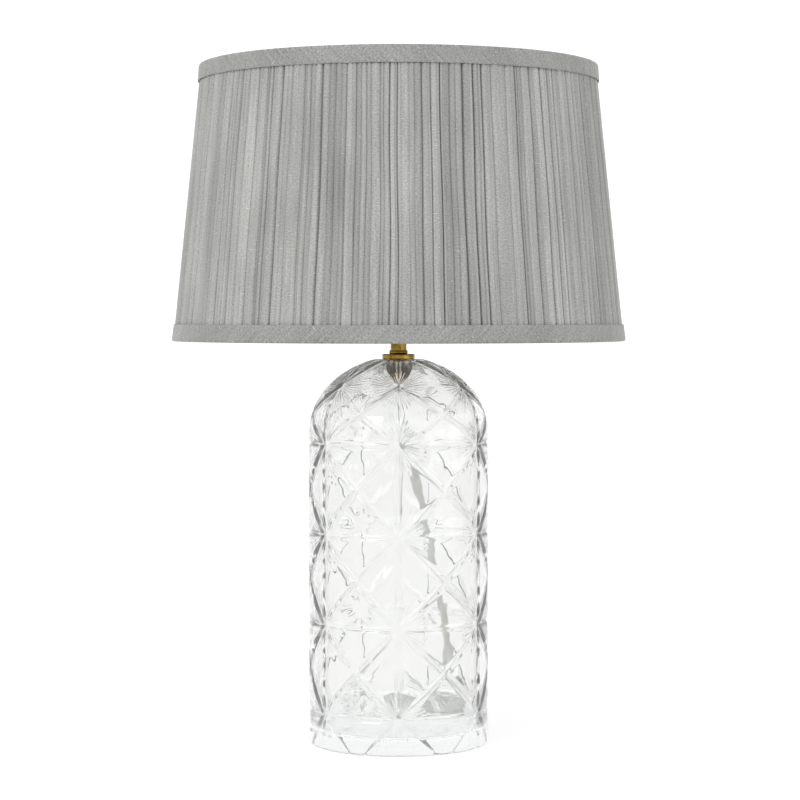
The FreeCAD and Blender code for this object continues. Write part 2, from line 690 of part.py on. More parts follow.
def bulb_outline(inset):
    """Edges of the bulb's glass from its open neck to its crown, at an inset from the outside."""
    radius = BULB_RADIUS - inset
    centre = BULB_GLASS_BASE + BULB_GLASS_HEIGHT - BULB_RADIUS
    below = -math.radians(BULB_NECK_ANGLE)
    neck = BULB_NECK_RADIUS - inset
    meet = at(radius * math.cos(below), centre + radius * math.sin(below))
    waist = at(neck + 1.2, BULB_GLASS_BASE + 0.55 * (meet.z - BULB_GLASS_BASE))
    return [
        Part.makeLine(at(neck, BULB_GLASS_BASE), waist),
        Part.makeLine(waist, meet),
        arc(0, centre, radius, below, math.pi / 2),
    ]


def bulb_glass():
    """Frosted bulb envelope, open at the neck."""
    outer = bulb_outline(0.0)
    inner = bulb_outline(BULB_WALL)
    top = BULB_GLASS_BASE + BULB_GLASS_HEIGHT
    crown = Part.makeLine(at(0, top), at(0, top - BULB_WALL))
    rim = Part.makeLine(at(BULB_NECK_RADIUS, BULB_GLASS_BASE), at(BULB_NECK_RADIUS - BULB_WALL, BULB_GLASS_BASE))
    return turned(Part.__sortEdges__(outer + [crown] + inner + [rim]))


def bulb_cap():
    """Screw cap of the bulb: a thin cup."""
    bore = BULB_CAP_RADIUS - BULB_CAP_WALL
    floor = BULB_CAP_BASE + 2.0
    return turned([
        at(0, BULB_CAP_BASE), at(BULB_TIP_RADIUS + 2.0, BULB_CAP_BASE), at(BULB_CAP_RADIUS, floor + 1.0),
        at(BULB_CAP_RADIUS, BULB_GLASS_BASE), at(bore, BULB_GLASS_BASE), at(bore, floor + 1.0), at(0, floor + 1.0),
    ])


def bulb_parts():
    """Bulb: envelope, cap and tip."""
    write("bulb_glass", bulb_glass())
    write("bulb_cap", bulb_cap())
    write("bulb_contact", turned([
        at(0, TIP_BASE), at(BULB_TIP_RADIUS - 1.5, TIP_BASE), at(BULB_TIP_RADIUS, BULB_CAP_BASE), at(0, BULB_CAP_BASE),
    ]))


# ---------------------------------------------------------------- shade

def shade_radius(height):
    """Outer radius of the shade at a height."""
    share = (height - SHADE_BOTTOM) / SHADE_HEIGHT
    return SHADE_BOTTOM_RADIUS + (SHADE_TOP_RADIUS - SHADE_BOTTOM_RADIUS) * share


def in_shade(height, inset):
    """Point of the shade's outline at an inset from its outer face."""
    return at(shade_radius(height) - inset, height)


def binding(edge, direction):
    """Folded strip round an edge of the shade. Direction is +1 from the bottom, -1 from the top."""
    outer = edge + direction * BINDING_HEIGHT
    inner = edge + direction * BINDING_INNER_HEIGHT
    web = edge + direction * BINDING_THICK
    return turned([
        in_shade(edge, 0), in_shade(outer, 0), in_shade(outer, BINDING_THICK), in_shade(web, BINDING_THICK),
        in_shade(web, LEG_INSET), in_shade(inner, LEG_INSET), in_shade(inner, BINDING_DEPTH),
        in_shade(edge, BINDING_DEPTH),
    ])


def pleat_ring(height, extra):
    """Zigzag line of the gathered cover at one height. Extra insets the inner face."""
    scale = shade_radius(height) / SHADE_BOTTOM_RADIUS
    points = []
    for step in range(2 * PLEATS):
        depth = 0.0
        if step % 2:
            depth = PLEAT_DEPTH * (1 - PLEAT_UNEVEN * (0.5 + 0.5 * math.sin(step * 1.7)))
        radius = (SHADE_BOTTOM_RADIUS - COVER_INSET - depth - extra) * scale
        angle = math.pi * step / PLEATS
        points.append(Vector(radius * math.cos(angle), radius * math.sin(angle), height))
    return points


def pleated_cover():
    """Gathered cloth: a thin zigzag wall from one binding to the other."""
    low = SHADE_BOTTOM + BINDING_THICK + EDGE_GAP
    high = SHADE_TOP - BINDING_THICK - EDGE_GAP
    faces = []
    for extra in (0.0, COVER_THICK):
        below = pleat_ring(low, extra)
        above = pleat_ring(high, extra)
        for step in range(2 * PLEATS):
            after = (step + 1) % (2 * PLEATS)
            corners = [below[step], below[after], above[after], above[step], below[step]]
            faces.append(Part.Face(Part.makePolygon(corners)))
    for height in (low, high):
        outer = pleat_ring(height, 0.0)
        inner = pleat_ring(height, COVER_THICK)
        for step in range(2 * PLEATS):
            after = (step + 1) % (2 * PLEATS)
            corners = [outer[step], outer[after], inner[after], inner[step], outer[step]]
            faces.append(Part.Face(Part.makePolygon(corners)))
    shell = Part.makeShell(faces)
    shell.sewShape()
    solid = Part.Solid(shell)
    if solid.Volume < 0:
        solid.reverse()
    return solid


def wire_ring(height):
    """Round wire hoop of the shade's frame."""
    return Part.makeTorus(shade_radius(height) - WIRE_INSET, RING_WIRE, Vector(0, 0, height))


def frame_struts():
    """Straight wires that hold the two hoops apart."""
    reach = RING_LIFT + RING_WIRE + WELD_GAP
    low = in_shade(SHADE_BOTTOM + reach, WIRE_INSET)
    high = in_shade(SHADE_TOP - reach, WIRE_INSET)
    strut = Part.makeCylinder(STRUT_WIRE, (high - low).Length, low, high - low)
    struts = []
    for number in range(STRUTS):
        one = strut.copy()
        one.rotate(ORIGIN, AXIS, 360 * number / STRUTS)
        struts.append(one)
    return Part.makeCompound(struts)


def arm_solids(wire):
    """Arms of the fitting, from the carrier ring out and down to the lower hoop."""
    level = (CARRIER_BASE + CARRIER_TOP) / 2
    hoop = SHADE_BOTTOM + RING_LIFT
    start = CARRIER_OUTER + WELD_GAP
    bend = at(start + ARM_LEVEL_RUN, level)
    centre = in_shade(hoop, WIRE_INSET)
    slope = (centre - bend).normalize()
    end = centre - slope * (RING_WIRE + WELD_GAP)
    edges = corner_arcs([at(start, level), bend, end])[0]
    arm = swept(edges, wire, Vector(1, 0, 0))
    arms = []
    for number in range(ARMS):
        one = arm.copy()
        one.rotate(ORIGIN, AXIS, 90 + 360 * number / ARMS)
        arms.append(one)
    return arms


def shade_ring():
    """Ring nut with a fluted rim, which clamps the carrier ring to the shoulder."""
    flutes = []
    for number in range(RING_NUT_FLUTES):
        angle = 2 * math.pi * number / RING_NUT_FLUTES
        place = Vector(RING_NUT_RADIUS * math.cos(angle), RING_NUT_RADIUS * math.sin(angle), RING_NUT_BASE - 1)
        flutes.append(Part.makeCylinder(FLUTE_RADIUS, RING_NUT_HEIGHT + 2, place))
    nut = ring(RING_NUT_RADIUS, SKIRT_RADIUS + RUNNING, RING_NUT_BASE, RING_NUT_HEIGHT)
    return nut.cut(flutes)


def shade_parts():
    """Frame, lining, cloth and bindings of the shade, and the ring nut that holds it."""
    low = SHADE_BOTTOM + BINDING_THICK + EDGE_GAP
    high = SHADE_TOP - BINDING_THICK - EDGE_GAP
    lining = turned([
        in_shade(low, LINING_INSET), in_shade(high, LINING_INSET),
        in_shade(high, LINING_INSET + LINING_THICK), in_shade(low, LINING_INSET + LINING_THICK),
    ])
    arm_holes = arm_solids(ARM_WIRE + ARM_HOLE_MARGIN)
    write("shade_ring", shade_ring())
    carrier_bore = SKIRT_RADIUS + RUNNING
    write("carrier_ring", ring(CARRIER_OUTER, carrier_bore, CARRIER_BASE, CARRIER_THICK))
    write("carrier_arms", Part.makeCompound(arm_solids(ARM_WIRE)))
    write("bottom_wire_ring", wire_ring(SHADE_BOTTOM + RING_LIFT))
    write("top_wire_ring", wire_ring(SHADE_TOP - RING_LIFT))
    write("frame_struts", frame_struts())
    write("shade_lining", lining.cut(arm_holes))
    write("pleated_cover", pleated_cover())
    write("bottom_binding", binding(SHADE_BOTTOM, 1).cut(arm_holes))
    write("top_binding", binding(SHADE_TOP, -1))


# ---------------------------------------------------------------- cord and plug

def in_exit_plane(radius, height):
    """Point in the upright plane through the lamp's axis and the hole in the glass."""
    return EXIT_OUT * radius + Vector(0, 0, height)


def inside_route():
    """The cord in the bottle: out of the stem, down in a slack line and round into the bush."""
    return [
        in_exit_plane(0, STEM_BASE),
        in_exit_plane(0, STEM_BASE - 13),
        in_exit_plane(3.8, STEM_BASE - 30),
        in_exit_plane(9.5, 266),
        in_exit_plane(17.5, 241),
        in_exit_plane(28, 206),
        in_exit_plane(39.5, 170),
        in_exit_plane(49, 135),
        in_exit_plane(55.5, 105),
        in_exit_plane(59, 81),
        in_exit_plane(60, 63),
        in_exit_plane(60.6, EXIT_HEIGHT + 9),
        in_exit_plane(63.2, EXIT_HEIGHT + 2.8),
        in_exit_plane(67.5, EXIT_HEIGHT),
        in_exit_plane(BUSH_INNER, EXIT_HEIGHT),
    ]


def lead_route():
    """The cord outside: through the bush, round behind the glass and down to the table."""
    first, leaving = coil_points()[0]
    coil_start = first - leaving * 2 * CORD_RADIUS
    return [
        in_exit_plane(BUSH_INNER, EXIT_HEIGHT),
        in_exit_plane(BUSH_END + 6.3, EXIT_HEIGHT),
        Vector(75.8, 67.8, 41.0),
        Vector(79.3, 80.5, 33.5),
        Vector(79.6, 94.0, 20.5),
        Vector(78.6, 105.0, 10.8),
        Vector(76.4, 115.5, 5.2),
        coil_start + Vector(0, -9.0, 0),
        coil_start,
    ]


def coil_points():
    """Ends of the coil's half turns, each with its direction: in on the table, up, and out again."""
    points = []
    radius = COIL_INNER + COIL_HALF_TURNS_IN * COIL_PITCH / 2
    height = CORD_RADIUS
    angle = 0.0
    steps = [(-COIL_PITCH / 2, 0.0, math.pi)] * COIL_HALF_TURNS_IN
    steps += [(0.0, COIL_LAYER, math.pi)]
    steps += [(COIL_PITCH / 2, 0.0, math.pi)] * COIL_HALF_TURNS_OUT
    steps += [(COIL_PITCH / 4, 0.0, math.pi / 2)]
    for shrink, climb, turn in [(0.0, 0.0, 0.0)] + steps:
        radius += shrink
        height += climb
        angle += turn
        outward = Vector(math.cos(angle), math.sin(angle), 0)
        points.append((COIL_CENTRE + outward * radius + Vector(0, 0, height), AXIS.cross(outward)))
    return points


def joining_arc(start, corner, end):
    """Arc that leaves and arrives along the two equal sides of a corner."""
    middle = (start + end) / 2
    half_chord = (end - start).Length / 2
    rise = corner - middle
    half_angle = math.atan2(rise.Length, half_chord)
    top = middle + rise.normalize() * half_chord * math.tan(half_angle / 2)
    return Part.Arc(start, top, end).toShape()


def two_arcs(start, leaving, end, arriving):
    """Two tangent arcs from one point and direction to another."""
    span = end - start
    both = leaving + arriving
    square = 2 * (1 - leaving.dot(arriving))
    linear = 2 * span.dot(both)
    reach = (-linear + math.sqrt(linear ** 2 + 4 * square * span.dot(span))) / (2 * square)
    first = start + leaving * reach
    second = end - arriving * reach
    middle = (first + second) / 2
    return [joining_arc(start, first, middle), joining_arc(middle, second, end)]


def least_gap(edges):
    """Least gap between two turns of a wound cord, measured on points a few millimetres apart."""
    spacing = 2.0
    points = []
    for edge in edges:
        points += edge.discretize(max(2, int(edge.Length / spacing)))[:-1]
    half_turn = int(math.pi * COIL_INNER / spacing)
    least = min((a - b).Length for i, a in enumerate(points) for b in points[i + half_turn:])
    return least - 2 * CORD_RADIUS


def cord_coil():
    """The put-away length: one unbroken cord, wound in and out in two layers."""
    stations = coil_points()
    straight = 2 * CORD_RADIUS
    start, leaving = stations[0]
    end, arriving = stations[-1]
    edges = [Part.LineSegment(start - leaving * straight, start).toShape()]
    for (here, direction), (there, onward) in zip(stations, stations[1:]):
        edges += two_arcs(here, direction, there, onward)
    edges.append(Part.LineSegment(end, end + arriving * straight).toShape())
    solid = swept(edges, CORD_RADIUS, leaving)
    length = sum(edge.Length for edge in edges)
    share = solid.Volume / (math.pi * CORD_RADIUS ** 2 * length)
    print("cord_coil length", round(length, 1), "volume share", round(share, 4))
    print("cord_coil least gap between turns", round(least_gap(edges), 3))
    return solid


def plug_entry():
    """Where the cord goes into the plug's strain relief."""
    return Vector(-17.0, 187.0, PLUG_THICK / 2)


def tail_route():
    """The last stretch of the cord, off the coil and down to the plug."""
    end, arriving = coil_points()[-1]
    start = end + arriving * 2 * CORD_RADIUS
    return [
        start,
        start + Vector(-10.0, 0.0, 0.0),
        start + Vector(-20.0, 0.5, -1.2),
        plug_entry() + Vector(9.0, 0, 0),
        plug_entry(),
    ]


def plug_body():
    """Two-pin plug body with a rounded outline, and a tapered relief on the cord."""
    entry = plug_entry()
    along = Vector(-1, 0, 0)
    relief = place_along(Part.makeCone(CORD_RADIUS + 0.8, RELIEF_RADIUS, RELIEF_LENGTH), entry, along)
    face = entry + along * RELIEF_LENGTH
    block = Part.makeBox(
        PLUG_LENGTH, PLUG_WIDTH, PLUG_THICK, face + Vector(-PLUG_LENGTH, -PLUG_WIDTH / 2, -PLUG_THICK / 2))
    rounded = [edge for edge in block.Edges if edge.BoundBox.XLength > PLUG_LENGTH / 2]
    block = block.makeFillet(PLUG_EDGE, rounded)
    return block.fuse(relief).removeSplitter()


def plug_pins():
    """Two round pins with bevelled tips."""
    face = plug_entry() + Vector(-RELIEF_LENGTH - PLUG_LENGTH, 0, 0)
    pin = turned([
        at(0, 0), at(PIN_RADIUS, 0), at(PIN_RADIUS, PIN_LENGTH - 1.0), at(PIN_RADIUS - 1.0, PIN_LENGTH), at(0, PIN_LENGTH),
    ])
    pins = []
    for side in (-1, 1):
        place = face + Vector(0, side * PIN_SPREAD / 2, 0)
        pins.append(place_along(pin, place, Vector(-1, 0, 0)))
    return Part.makeCompound(pins)


def cord_parts():
    """The free cord in its four stretches, and its plug."""
    write("cord_inside", cord_tube("cord_inside", inside_route(), CORD_RADIUS))
    write("cord_lead", cord_tube("cord_lead", lead_route(), CORD_RADIUS))
    write("cord_coil", cord_coil())
    write("cord_tail", cord_tube("cord_tail", tail_route(), CORD_RADIUS))
    write("plug_body", plug_body())
    write("plug_pins", plug_pins())


write("glass_base", glass_base())
write("cord_grommet", cord_grommet())
neck_parts()
holder_parts()
bulb_parts()
shade_parts()
cord_parts()
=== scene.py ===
"""Looks of a table lamp: relief-cut glass bottle, brass neck fitting and gathered drum shade.

Everything is in metres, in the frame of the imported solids: +Z up, the origin at the centre of the
glass foot, the front towards -Y. The cord leaves the glass at the back right.
"""
import logging
import math
from dataclasses import dataclass, field
from enum import Enum

import bmesh
import bpy
from mathutils import Matrix, Vector


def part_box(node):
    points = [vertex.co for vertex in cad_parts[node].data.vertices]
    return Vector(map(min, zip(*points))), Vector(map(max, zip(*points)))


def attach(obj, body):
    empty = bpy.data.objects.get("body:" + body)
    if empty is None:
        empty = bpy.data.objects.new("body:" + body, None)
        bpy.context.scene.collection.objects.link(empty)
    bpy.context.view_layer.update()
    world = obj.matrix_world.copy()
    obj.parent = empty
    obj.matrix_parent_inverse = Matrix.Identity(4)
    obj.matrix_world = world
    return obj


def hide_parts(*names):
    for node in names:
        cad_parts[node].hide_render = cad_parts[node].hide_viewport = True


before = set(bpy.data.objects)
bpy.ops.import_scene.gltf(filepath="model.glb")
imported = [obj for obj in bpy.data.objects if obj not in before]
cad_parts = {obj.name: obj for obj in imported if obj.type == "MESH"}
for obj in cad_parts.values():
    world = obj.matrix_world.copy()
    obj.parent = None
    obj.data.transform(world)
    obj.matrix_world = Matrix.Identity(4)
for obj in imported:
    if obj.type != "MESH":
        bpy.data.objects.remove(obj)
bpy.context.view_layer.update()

LOG = logging.getLogger("lamp")
MM = 0.001
FULL_TURN = 2 * math.pi
MIX_COLOUR_INPUTS = (0, 6, 7)       # factor and both colours of a Mix node
MIX_COLOUR_OUTPUT = 2
MIX_VALUE_INPUTS = (0, 2, 3)        # factor and both values of a Mix node
MAP_RANGE_INPUTS = (1, 2, 3, 4)     # from low, from high, to low, to high
WAVE_RADIANS = 20                   # angle of a Wave Texture at a length and scale of 1
UNCUT = -1.0                        # kept value of glass that isn't on the cut outside
FAR_FROM_FANS = (1, 1)              # its place in the UV map of the fans, in metres
Colour = tuple[float, float, float]


def grey(level: float) -> Colour:
    """Neutral colour of a level."""
    return level, level, level


class Body(Enum):
    """Bodies of the frame that pieces ride on."""

    BASE = "base"
    SHADE = "shade"


class Edge(Enum):
    """The two bound edges of the shade."""

    TOP = "top"
    BOTTOM = "bottom"


# ------------------------------------------------------------------ meshes


def new_object(name: str, bm: bmesh.types.BMesh, smooth: bool = True) -> bpy.types.Object:
    """Turns a bmesh into a piece in the scene.

    Args:
        name: Name of the piece.
        bm: The mesh, which is freed.
        smooth: Whether its faces are shaded smooth.

    Returns:
        The new object, at the origin.
    """
    mesh = bpy.data.meshes.new(name)
    bm.to_mesh(mesh)
    bm.free()
    mesh.polygons.foreach_set("use_smooth", [smooth] * len(mesh.polygons))
    piece = bpy.data.objects.new(name, mesh)
    bpy.context.collection.objects.link(piece)
    return piece


def spun(profile: list[tuple[float, float, float]], steps: int, closed: bool) -> bmesh.types.BMesh:
    """Bends a grid round Z into a turned mesh, and keeps a value of each profile point on it.

    Args:
        profile: Points of the profile, in order, as radius, height and the value to keep.
        steps: Steps of the full turn.
        closed: Whether the last point joins the first.

    Returns:
        The round mesh, its seam and poles merged and its faces turned one way, with the values in
        the float layer "mark".
    """
    rows = len(profile) - (0 if closed else 1)
    bm = bmesh.new()
    mark = bm.verts.layers.float.new("mark")
    bmesh.ops.create_grid(bm, x_segments=steps, y_segments=rows, size=1.0)
    for vertex in bm.verts:
        turn = FULL_TURN * (round((vertex.co.x + 1) / 2 * steps) % steps) / steps
        radius, height, value = profile[round((vertex.co.y + 1) / 2 * rows) % len(profile)]
        vertex.co = (radius * math.cos(turn), radius * math.sin(turn), height)
        vertex[mark] = value
    bmesh.ops.remove_doubles(bm, verts=bm.verts, dist=1e-6)
    bmesh.ops.recalc_face_normals(bm, faces=bm.faces)
    return bm


def face_out(bm: bmesh.types.BMesh) -> None:
    """Turns an open ring's faces away from the axis, if they point at it.

    Args:
        bm: The ring.
    """
    face = next(iter(bm.faces))
    middle = face.calc_center_median()
    if face.normal.dot(Vector((middle.x, middle.y, 0))) < 0:
        bmesh.ops.reverse_faces(bm, faces=bm.faces)


def ring_uv(bm: bmesh.types.BMesh, around: float, heights: str) -> None:
    """Gives a spun mesh a UV map in real size, in metres.

    Args:
        bm: The spun mesh.
        around: Length of cloth in one turn.
        heights: Name of the float layer that holds the second coordinate.
    """
    uv = bm.loops.layers.uv.new("UVMap")
    layer = bm.verts.layers.float[heights]
    for face in bm.faces:
        turns = [math.atan2(loop.vert.co.y, loop.vert.co.x) / FULL_TURN for loop in face.loops]
        wraps = max(turns) - min(turns) > 0.5
        for loop, turn in zip(face.loops, turns):
            if wraps and turn < 0:
                turn += 1
            loop[uv].uv = (turn * around, loop.vert[layer])


def smooth_step(low: float, high: float, value: float) -> float:
    """Eased step from 0 at low to 1 at high."""
    share = min(1.0, max(0.0, (value - low) / (high - low)))
    return share * share * (3 - 2 * share)


def uneven(seed: float) -> float:
    """Fixed value from 0 to 1 that jumps about as the seed changes."""
    return (math.sin(seed * 12.9898 + 4.1414) * 43758.5453) % 1.0


def baked(piece: bpy.types.Object) -> None:
    """Puts the result of a piece's modifiers into its mesh.

    Args:
        piece: The piece, whose modifiers are cleared.
    """
    graph = bpy.context.evaluated_depsgraph_get()
    mesh = bpy.data.meshes.new_from_object(piece.evaluated_get(graph))
    piece.modifiers.clear()
    old = piece.data
    piece.data = mesh
    mesh.name = piece.name
    bpy.data.meshes.remove(old)


def settle(piece: bpy.types.Object, body: Body, slot: str, material: bpy.types.Material,
           *nodes: str) -> bpy.types.Object:
    """Dresses a piece, puts it on its body and lets it stand for its CAD nodes.

    Args:
        piece: The new piece.
        body: Body that it rides on.
        slot: Not used.
        material: Its finish.
        nodes: CAD nodes that it replaces.

    Returns:
        The same piece.
    """
    piece.data.materials.clear()
    piece.data.materials.append(material)
    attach(piece, body.value)
    if nodes:
        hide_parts(*nodes)
    LOG.info("%s rides on %s, for %s", piece.name, body.value, ", ".join(nodes) or "no node")
    return piece


# ------------------------------------------------------------------ finishes


class Shader:
    """A new material with a Principled shader, and short ways to add nodes to it."""

    def __init__(self, name: str) -> None:
        """Makes the material."""
        self.material = bpy.data.materials.new(name)
        self.material.use_nodes = True
        self.tree = self.material.node_tree
        self.surface = self.tree.nodes["Principled BSDF"]

    def node(self, kind: str, **settings: object) -> bpy.types.Node:
        """Adds a node and sets its properties.

        Args:
            kind: Type of the node.
            settings: Its properties.

        Returns:
            The node.
        """
        made = self.tree.nodes.new(kind)
        for key, value in settings.items():
            setattr(made, key, value)
        return made

    def link(self, source: bpy.types.NodeSocket, target: bpy.types.NodeSocket) -> None:
        """Joins two sockets."""
        self.tree.links.new(source, target)

    def put(self, **values: object) -> None:
        """Sets sockets of the Principled shader, with _ in place of a space."""
        for key, value in values.items():
            self.surface.inputs[key.replace("_", " ")].default_value = value

    def place(self, output: str, scale: tuple[float, float, float] = (1, 1, 1),
              turn: float = 0.0) -> bpy.types.NodeSocket:
        """Coordinates for a pattern.

        Args:
            output: Output of the Texture Coordinate node, Object or UV.
            scale: Scale on each axis.
            turn: Turn about Z in radians, before the scale.

        Returns:
            The socket with the scaled coordinates.
        """
        source = self.node("ShaderNodeTexCoord").outputs[output]
        if turn:
            turned = self.node("ShaderNodeMapping")
            turned.inputs["Rotation"].default_value = (0, 0, turn)
            self.link(source, turned.inputs["Vector"])
            source = turned.outputs["Vector"]
        mapping = self.node("ShaderNodeMapping")
        mapping.inputs["Scale"].default_value = scale
        self.link(source, mapping.inputs["Vector"])
        return mapping.outputs["Vector"]

    def noise(self, where: bpy.types.NodeSocket, scale: float, detail: float = 3.0,
              roughness: float = 0.5) -> bpy.types.NodeSocket:
        """Noise over the given coordinates.

        Args:
            where: The coordinates.
            scale: Scale of the noise.
            detail: Number of finer layers.
            roughness: Strength of the finer layers.

        Returns:
            The socket with the value, from 0 to 1.
        """
        made = self.node("ShaderNodeTexNoise")
        made.inputs["Scale"].default_value = scale
        made.inputs["Detail"].default_value = detail
        made.inputs["Roughness"].default_value = roughness
        self.link(where, made.inputs["Vector"])
        return made.outputs["Fac"]

    def ramp(self, factor: bpy.types.NodeSocket, stops: list[tuple[float, Colour]]) -> bpy.types.NodeSocket:
        """Colour ramp.

        Args:
            factor: Value that picks the colour.
            stops: Positions and their colours.

        Returns:
            The socket with the colour.
        """
        made = self.node("ShaderNodeValToRGB")
        elements = made.color_ramp.elements
        while len(elements) < len(stops):
            elements.new(0.5)
        for element, (position, colour) in zip(elements, stops):
            element.position = position
            element.color = (*colour, 1)
        self.link(factor, made.inputs["Fac"])
        return made.outputs["Color"]

    def mix(self, factor: bpy.types.NodeSocket | float, first: bpy.types.NodeSocket | Colour,
            second: bpy.types.NodeSocket | Colour, blend: str = "MIX") -> bpy.types.NodeSocket:
        """Mixes two colours.

        Args:
            factor: Share of the second colour.
            first: The first colour, a socket or plain.
            second: The second colour, a socket or plain.
            blend: Blend type of the Mix node.

        Returns:
            The socket with the colour.
        """
        made = self.node("ShaderNodeMix", data_type="RGBA", blend_type=blend)
        for index, value in zip(MIX_COLOUR_INPUTS, (factor, first, second)):
            if isinstance(value, bpy.types.NodeSocket):
                self.link(value, made.inputs[index])
            else:
                made.inputs[index].default_value = (*value, 1) if isinstance(value, tuple) else value
        return made.outputs[MIX_COLOUR_OUTPUT]

    def maths(self, operation: str, first: bpy.types.NodeSocket,
              second: bpy.types.NodeSocket | float = 0.0) -> bpy.types.NodeSocket:
        """One step of arithmetic on values.

        Args:
            operation: Operation of the Math node.
            first: The first value.
            second: The second value, a socket or plain.

        Returns:
            The socket with the result.
        """
        made = self.node("ShaderNodeMath", operation=operation)
        self.link(first, made.inputs[0])
        if isinstance(second, bpy.types.NodeSocket):
            self.link(second, made.inputs[1])
        else:
            made.inputs[1].default_value = second
        return made.outputs[0]

    def spread(self, value: bpy.types.NodeSocket, low: float, high: float, to_low: float = 0.0,
               to_high: float = 1.0) -> bpy.types.NodeSocket:
        """Maps a range of values to another, and clamps it.

        Args:
            value: The value.
            low: Start of its range.
            high: End of its range.
            to_low: Result at the start.
            to_high: Result at the end.

        Returns:
            The socket with the result.
        """
        made = self.node("ShaderNodeMapRange")
        for index, number in zip(MAP_RANGE_INPUTS, (low, high, to_low, to_high)):
            made.inputs[index].default_value = number
        self.link(value, made.inputs[0])
        return made.outputs[0]

    def bump(self, height: bpy.types.NodeSocket, distance: float, strength: float = 1.0,
             under: bpy.types.NodeSocket | None = None) -> bpy.types.NodeSocket:
        """Bump of a height map.

        Args:
            height: Height, from 0 to 1.
            distance: Real depth of the height map.
            strength: Strength of the bump.
            under: A normal that it lies on, if there is one.

        Returns:
            The socket with the normal.
        """
        made = self.node("ShaderNodeBump")
        made.inputs["Distance"].default_value = distance
        made.inputs["Strength"].default_value = strength
        self.link(height, made.inputs["Height"])
        if under is not None:
            self.link(under, made.inputs["Normal"])
        return made.outputs["Normal"]

    def into(self, name: str, source: bpy.types.NodeSocket) -> None:
        """Links a socket to an input of the Principled shader."""
        self.link(source, self.surface.inputs[name])


@dataclass(frozen=True)
class GlassFinish:
    """Pressed and cut clear glass: a faint tint, cooler in the thick foot, and fans of fine rays."""

    name: str = "cut_glass"
    tint: Colour = (0.984, 0.988, 0.978)
    cloud_tint: Colour = (0.99, 0.995, 0.99)
    cloud_scale: float = 25.0
    low_tint: Colour = (0.965, 0.972, 0.980)
    foot_tint: Colour = (0.885, 0.898, 0.908)
    foot_range: float = 50.0 * MM
    foot_stops: tuple[float, float, float] = (0.25, 0.36, 0.85)  # shares of foot_range
    haze: float = 0.07                                           # share that isn't transmitted
    index: float = 1.5
    flow: tuple[float, float, float] = (1, 1, 0.6)               # stretches the waves upwards
    wave_scale: float = 60.0
    wave_height: float = 0.1 * MM
    rays_in_turn: int = 40
    ray_edge: float = -0.4                                       # cosine at which a ray begins
    ray_depth: float = 0.16 * MM
    ray_start: float = 5.0 * MM
    ray_full: float = 8.0 * MM
    ray_end: tuple[float, float] = (20.0 * MM, 32.0 * MM)
    ray_fade: float = 0.7                                        # share of its end where it fades
    end_scale: float = 70.0

    def rays(self, shader: Shader) -> bpy.types.NodeSocket:
        """Height map of the rays that fan out from each crossing of the cuts.

        Args:
            shader: The material that gets the nodes.

        Returns:
            The socket with the height, from 0 to 1.
        """
        split = shader.node("ShaderNodeSeparateXYZ")
        shader.link(shader.place("UV"), split.inputs[0])
        across = shader.maths("ABSOLUTE", split.outputs["X"])
        up = shader.maths("ABSOLUTE", split.outputs["Y"])
        angle = shader.maths("ARCTAN2", up, across)
        squares = [shader.maths("POWER", side, 2.0) for side in (across, up)]
        reach = shader.maths("SQRT", shader.maths("ADD", *squares))
        wave = shader.maths("COSINE", shader.maths("MULTIPLY", angle, float(self.rays_in_turn)))
        ripple = shader.spread(wave, self.ray_edge, 1.0)
        uneven_end = shader.noise(shader.place("Object"), self.end_scale, 1.0)
        end = shader.spread(uneven_end, 0.3, 0.7, *self.ray_end)
        inner = shader.spread(reach, self.ray_start, self.ray_full)
        outer = shader.spread(shader.maths("DIVIDE", reach, end), self.ray_fade, 1.0, 1.0, 0.0)
        return shader.maths("MULTIPLY", ripple, shader.maths("MULTIPLY", inner, outer))

    def build(self) -> bpy.types.Material:
        """Makes the material.

        Returns:
            The material.
        """
        shader = Shader(self.name)
        shader.put(Roughness=0.0, IOR=self.index, Transmission_Weight=1 - self.haze)
        where = shader.place("Object", self.flow)
        clouds = shader.noise(where, self.cloud_scale, 2.0)
        cloud = shader.ramp(clouds, [(0.3, self.tint), (0.7, self.cloud_tint)])
        height = shader.node("ShaderNodeSeparateXYZ")
        shader.link(shader.place("Object"), height.inputs[0])
        rise = shader.spread(height.outputs["Z"], 0.0, self.foot_range)
        foot_tints = (self.foot_tint, self.low_tint, grey(1))
        foot = shader.ramp(rise, list(zip(self.foot_stops, foot_tints)))
        shader.into("Base Color", shader.mix(1.0, cloud, foot, "MULTIPLY"))
        wave = shader.bump(shader.noise(where, self.wave_scale, 2.0), self.wave_height)
        shader.into("Normal", shader.bump(self.rays(shader), self.ray_depth, 1.0, wave))
        return shader.material


@dataclass(frozen=True)
class MetalFinish:
    """Turned or drawn metal, with patina in its colour and fine lines round its axis."""

    name: str
    light: Colour
    dark: Colour
    roughness: tuple[float, float]
    patina_scale: float = 180.0
    line_scale: float = 2600.0
    line_height: float = 0.03 * MM
    line_run: tuple[float, float, float] = (0.02, 0.02, 1)  # draws the lines out round the axis

    def build(self) -> bpy.types.Material:
        """Makes the material.

        Returns:
            The material.
        """
        shader = Shader(self.name)
        shader.put(Metallic=1.0)
        patina = shader.noise(shader.place("Object"), self.patina_scale, 6.0, 0.65)
        shader.into("Base Color", shader.ramp(patina, [(0.35, self.dark), (0.62, self.light)]))
        shader.into("Roughness", shader.spread(patina, 0.3, 0.7, self.roughness[1], self.roughness[0]))
        lines = shader.noise(shader.place("Object", self.line_run), self.line_scale, 2.0)
        shader.into("Normal", shader.bump(lines, self.line_height))
        return shader.material


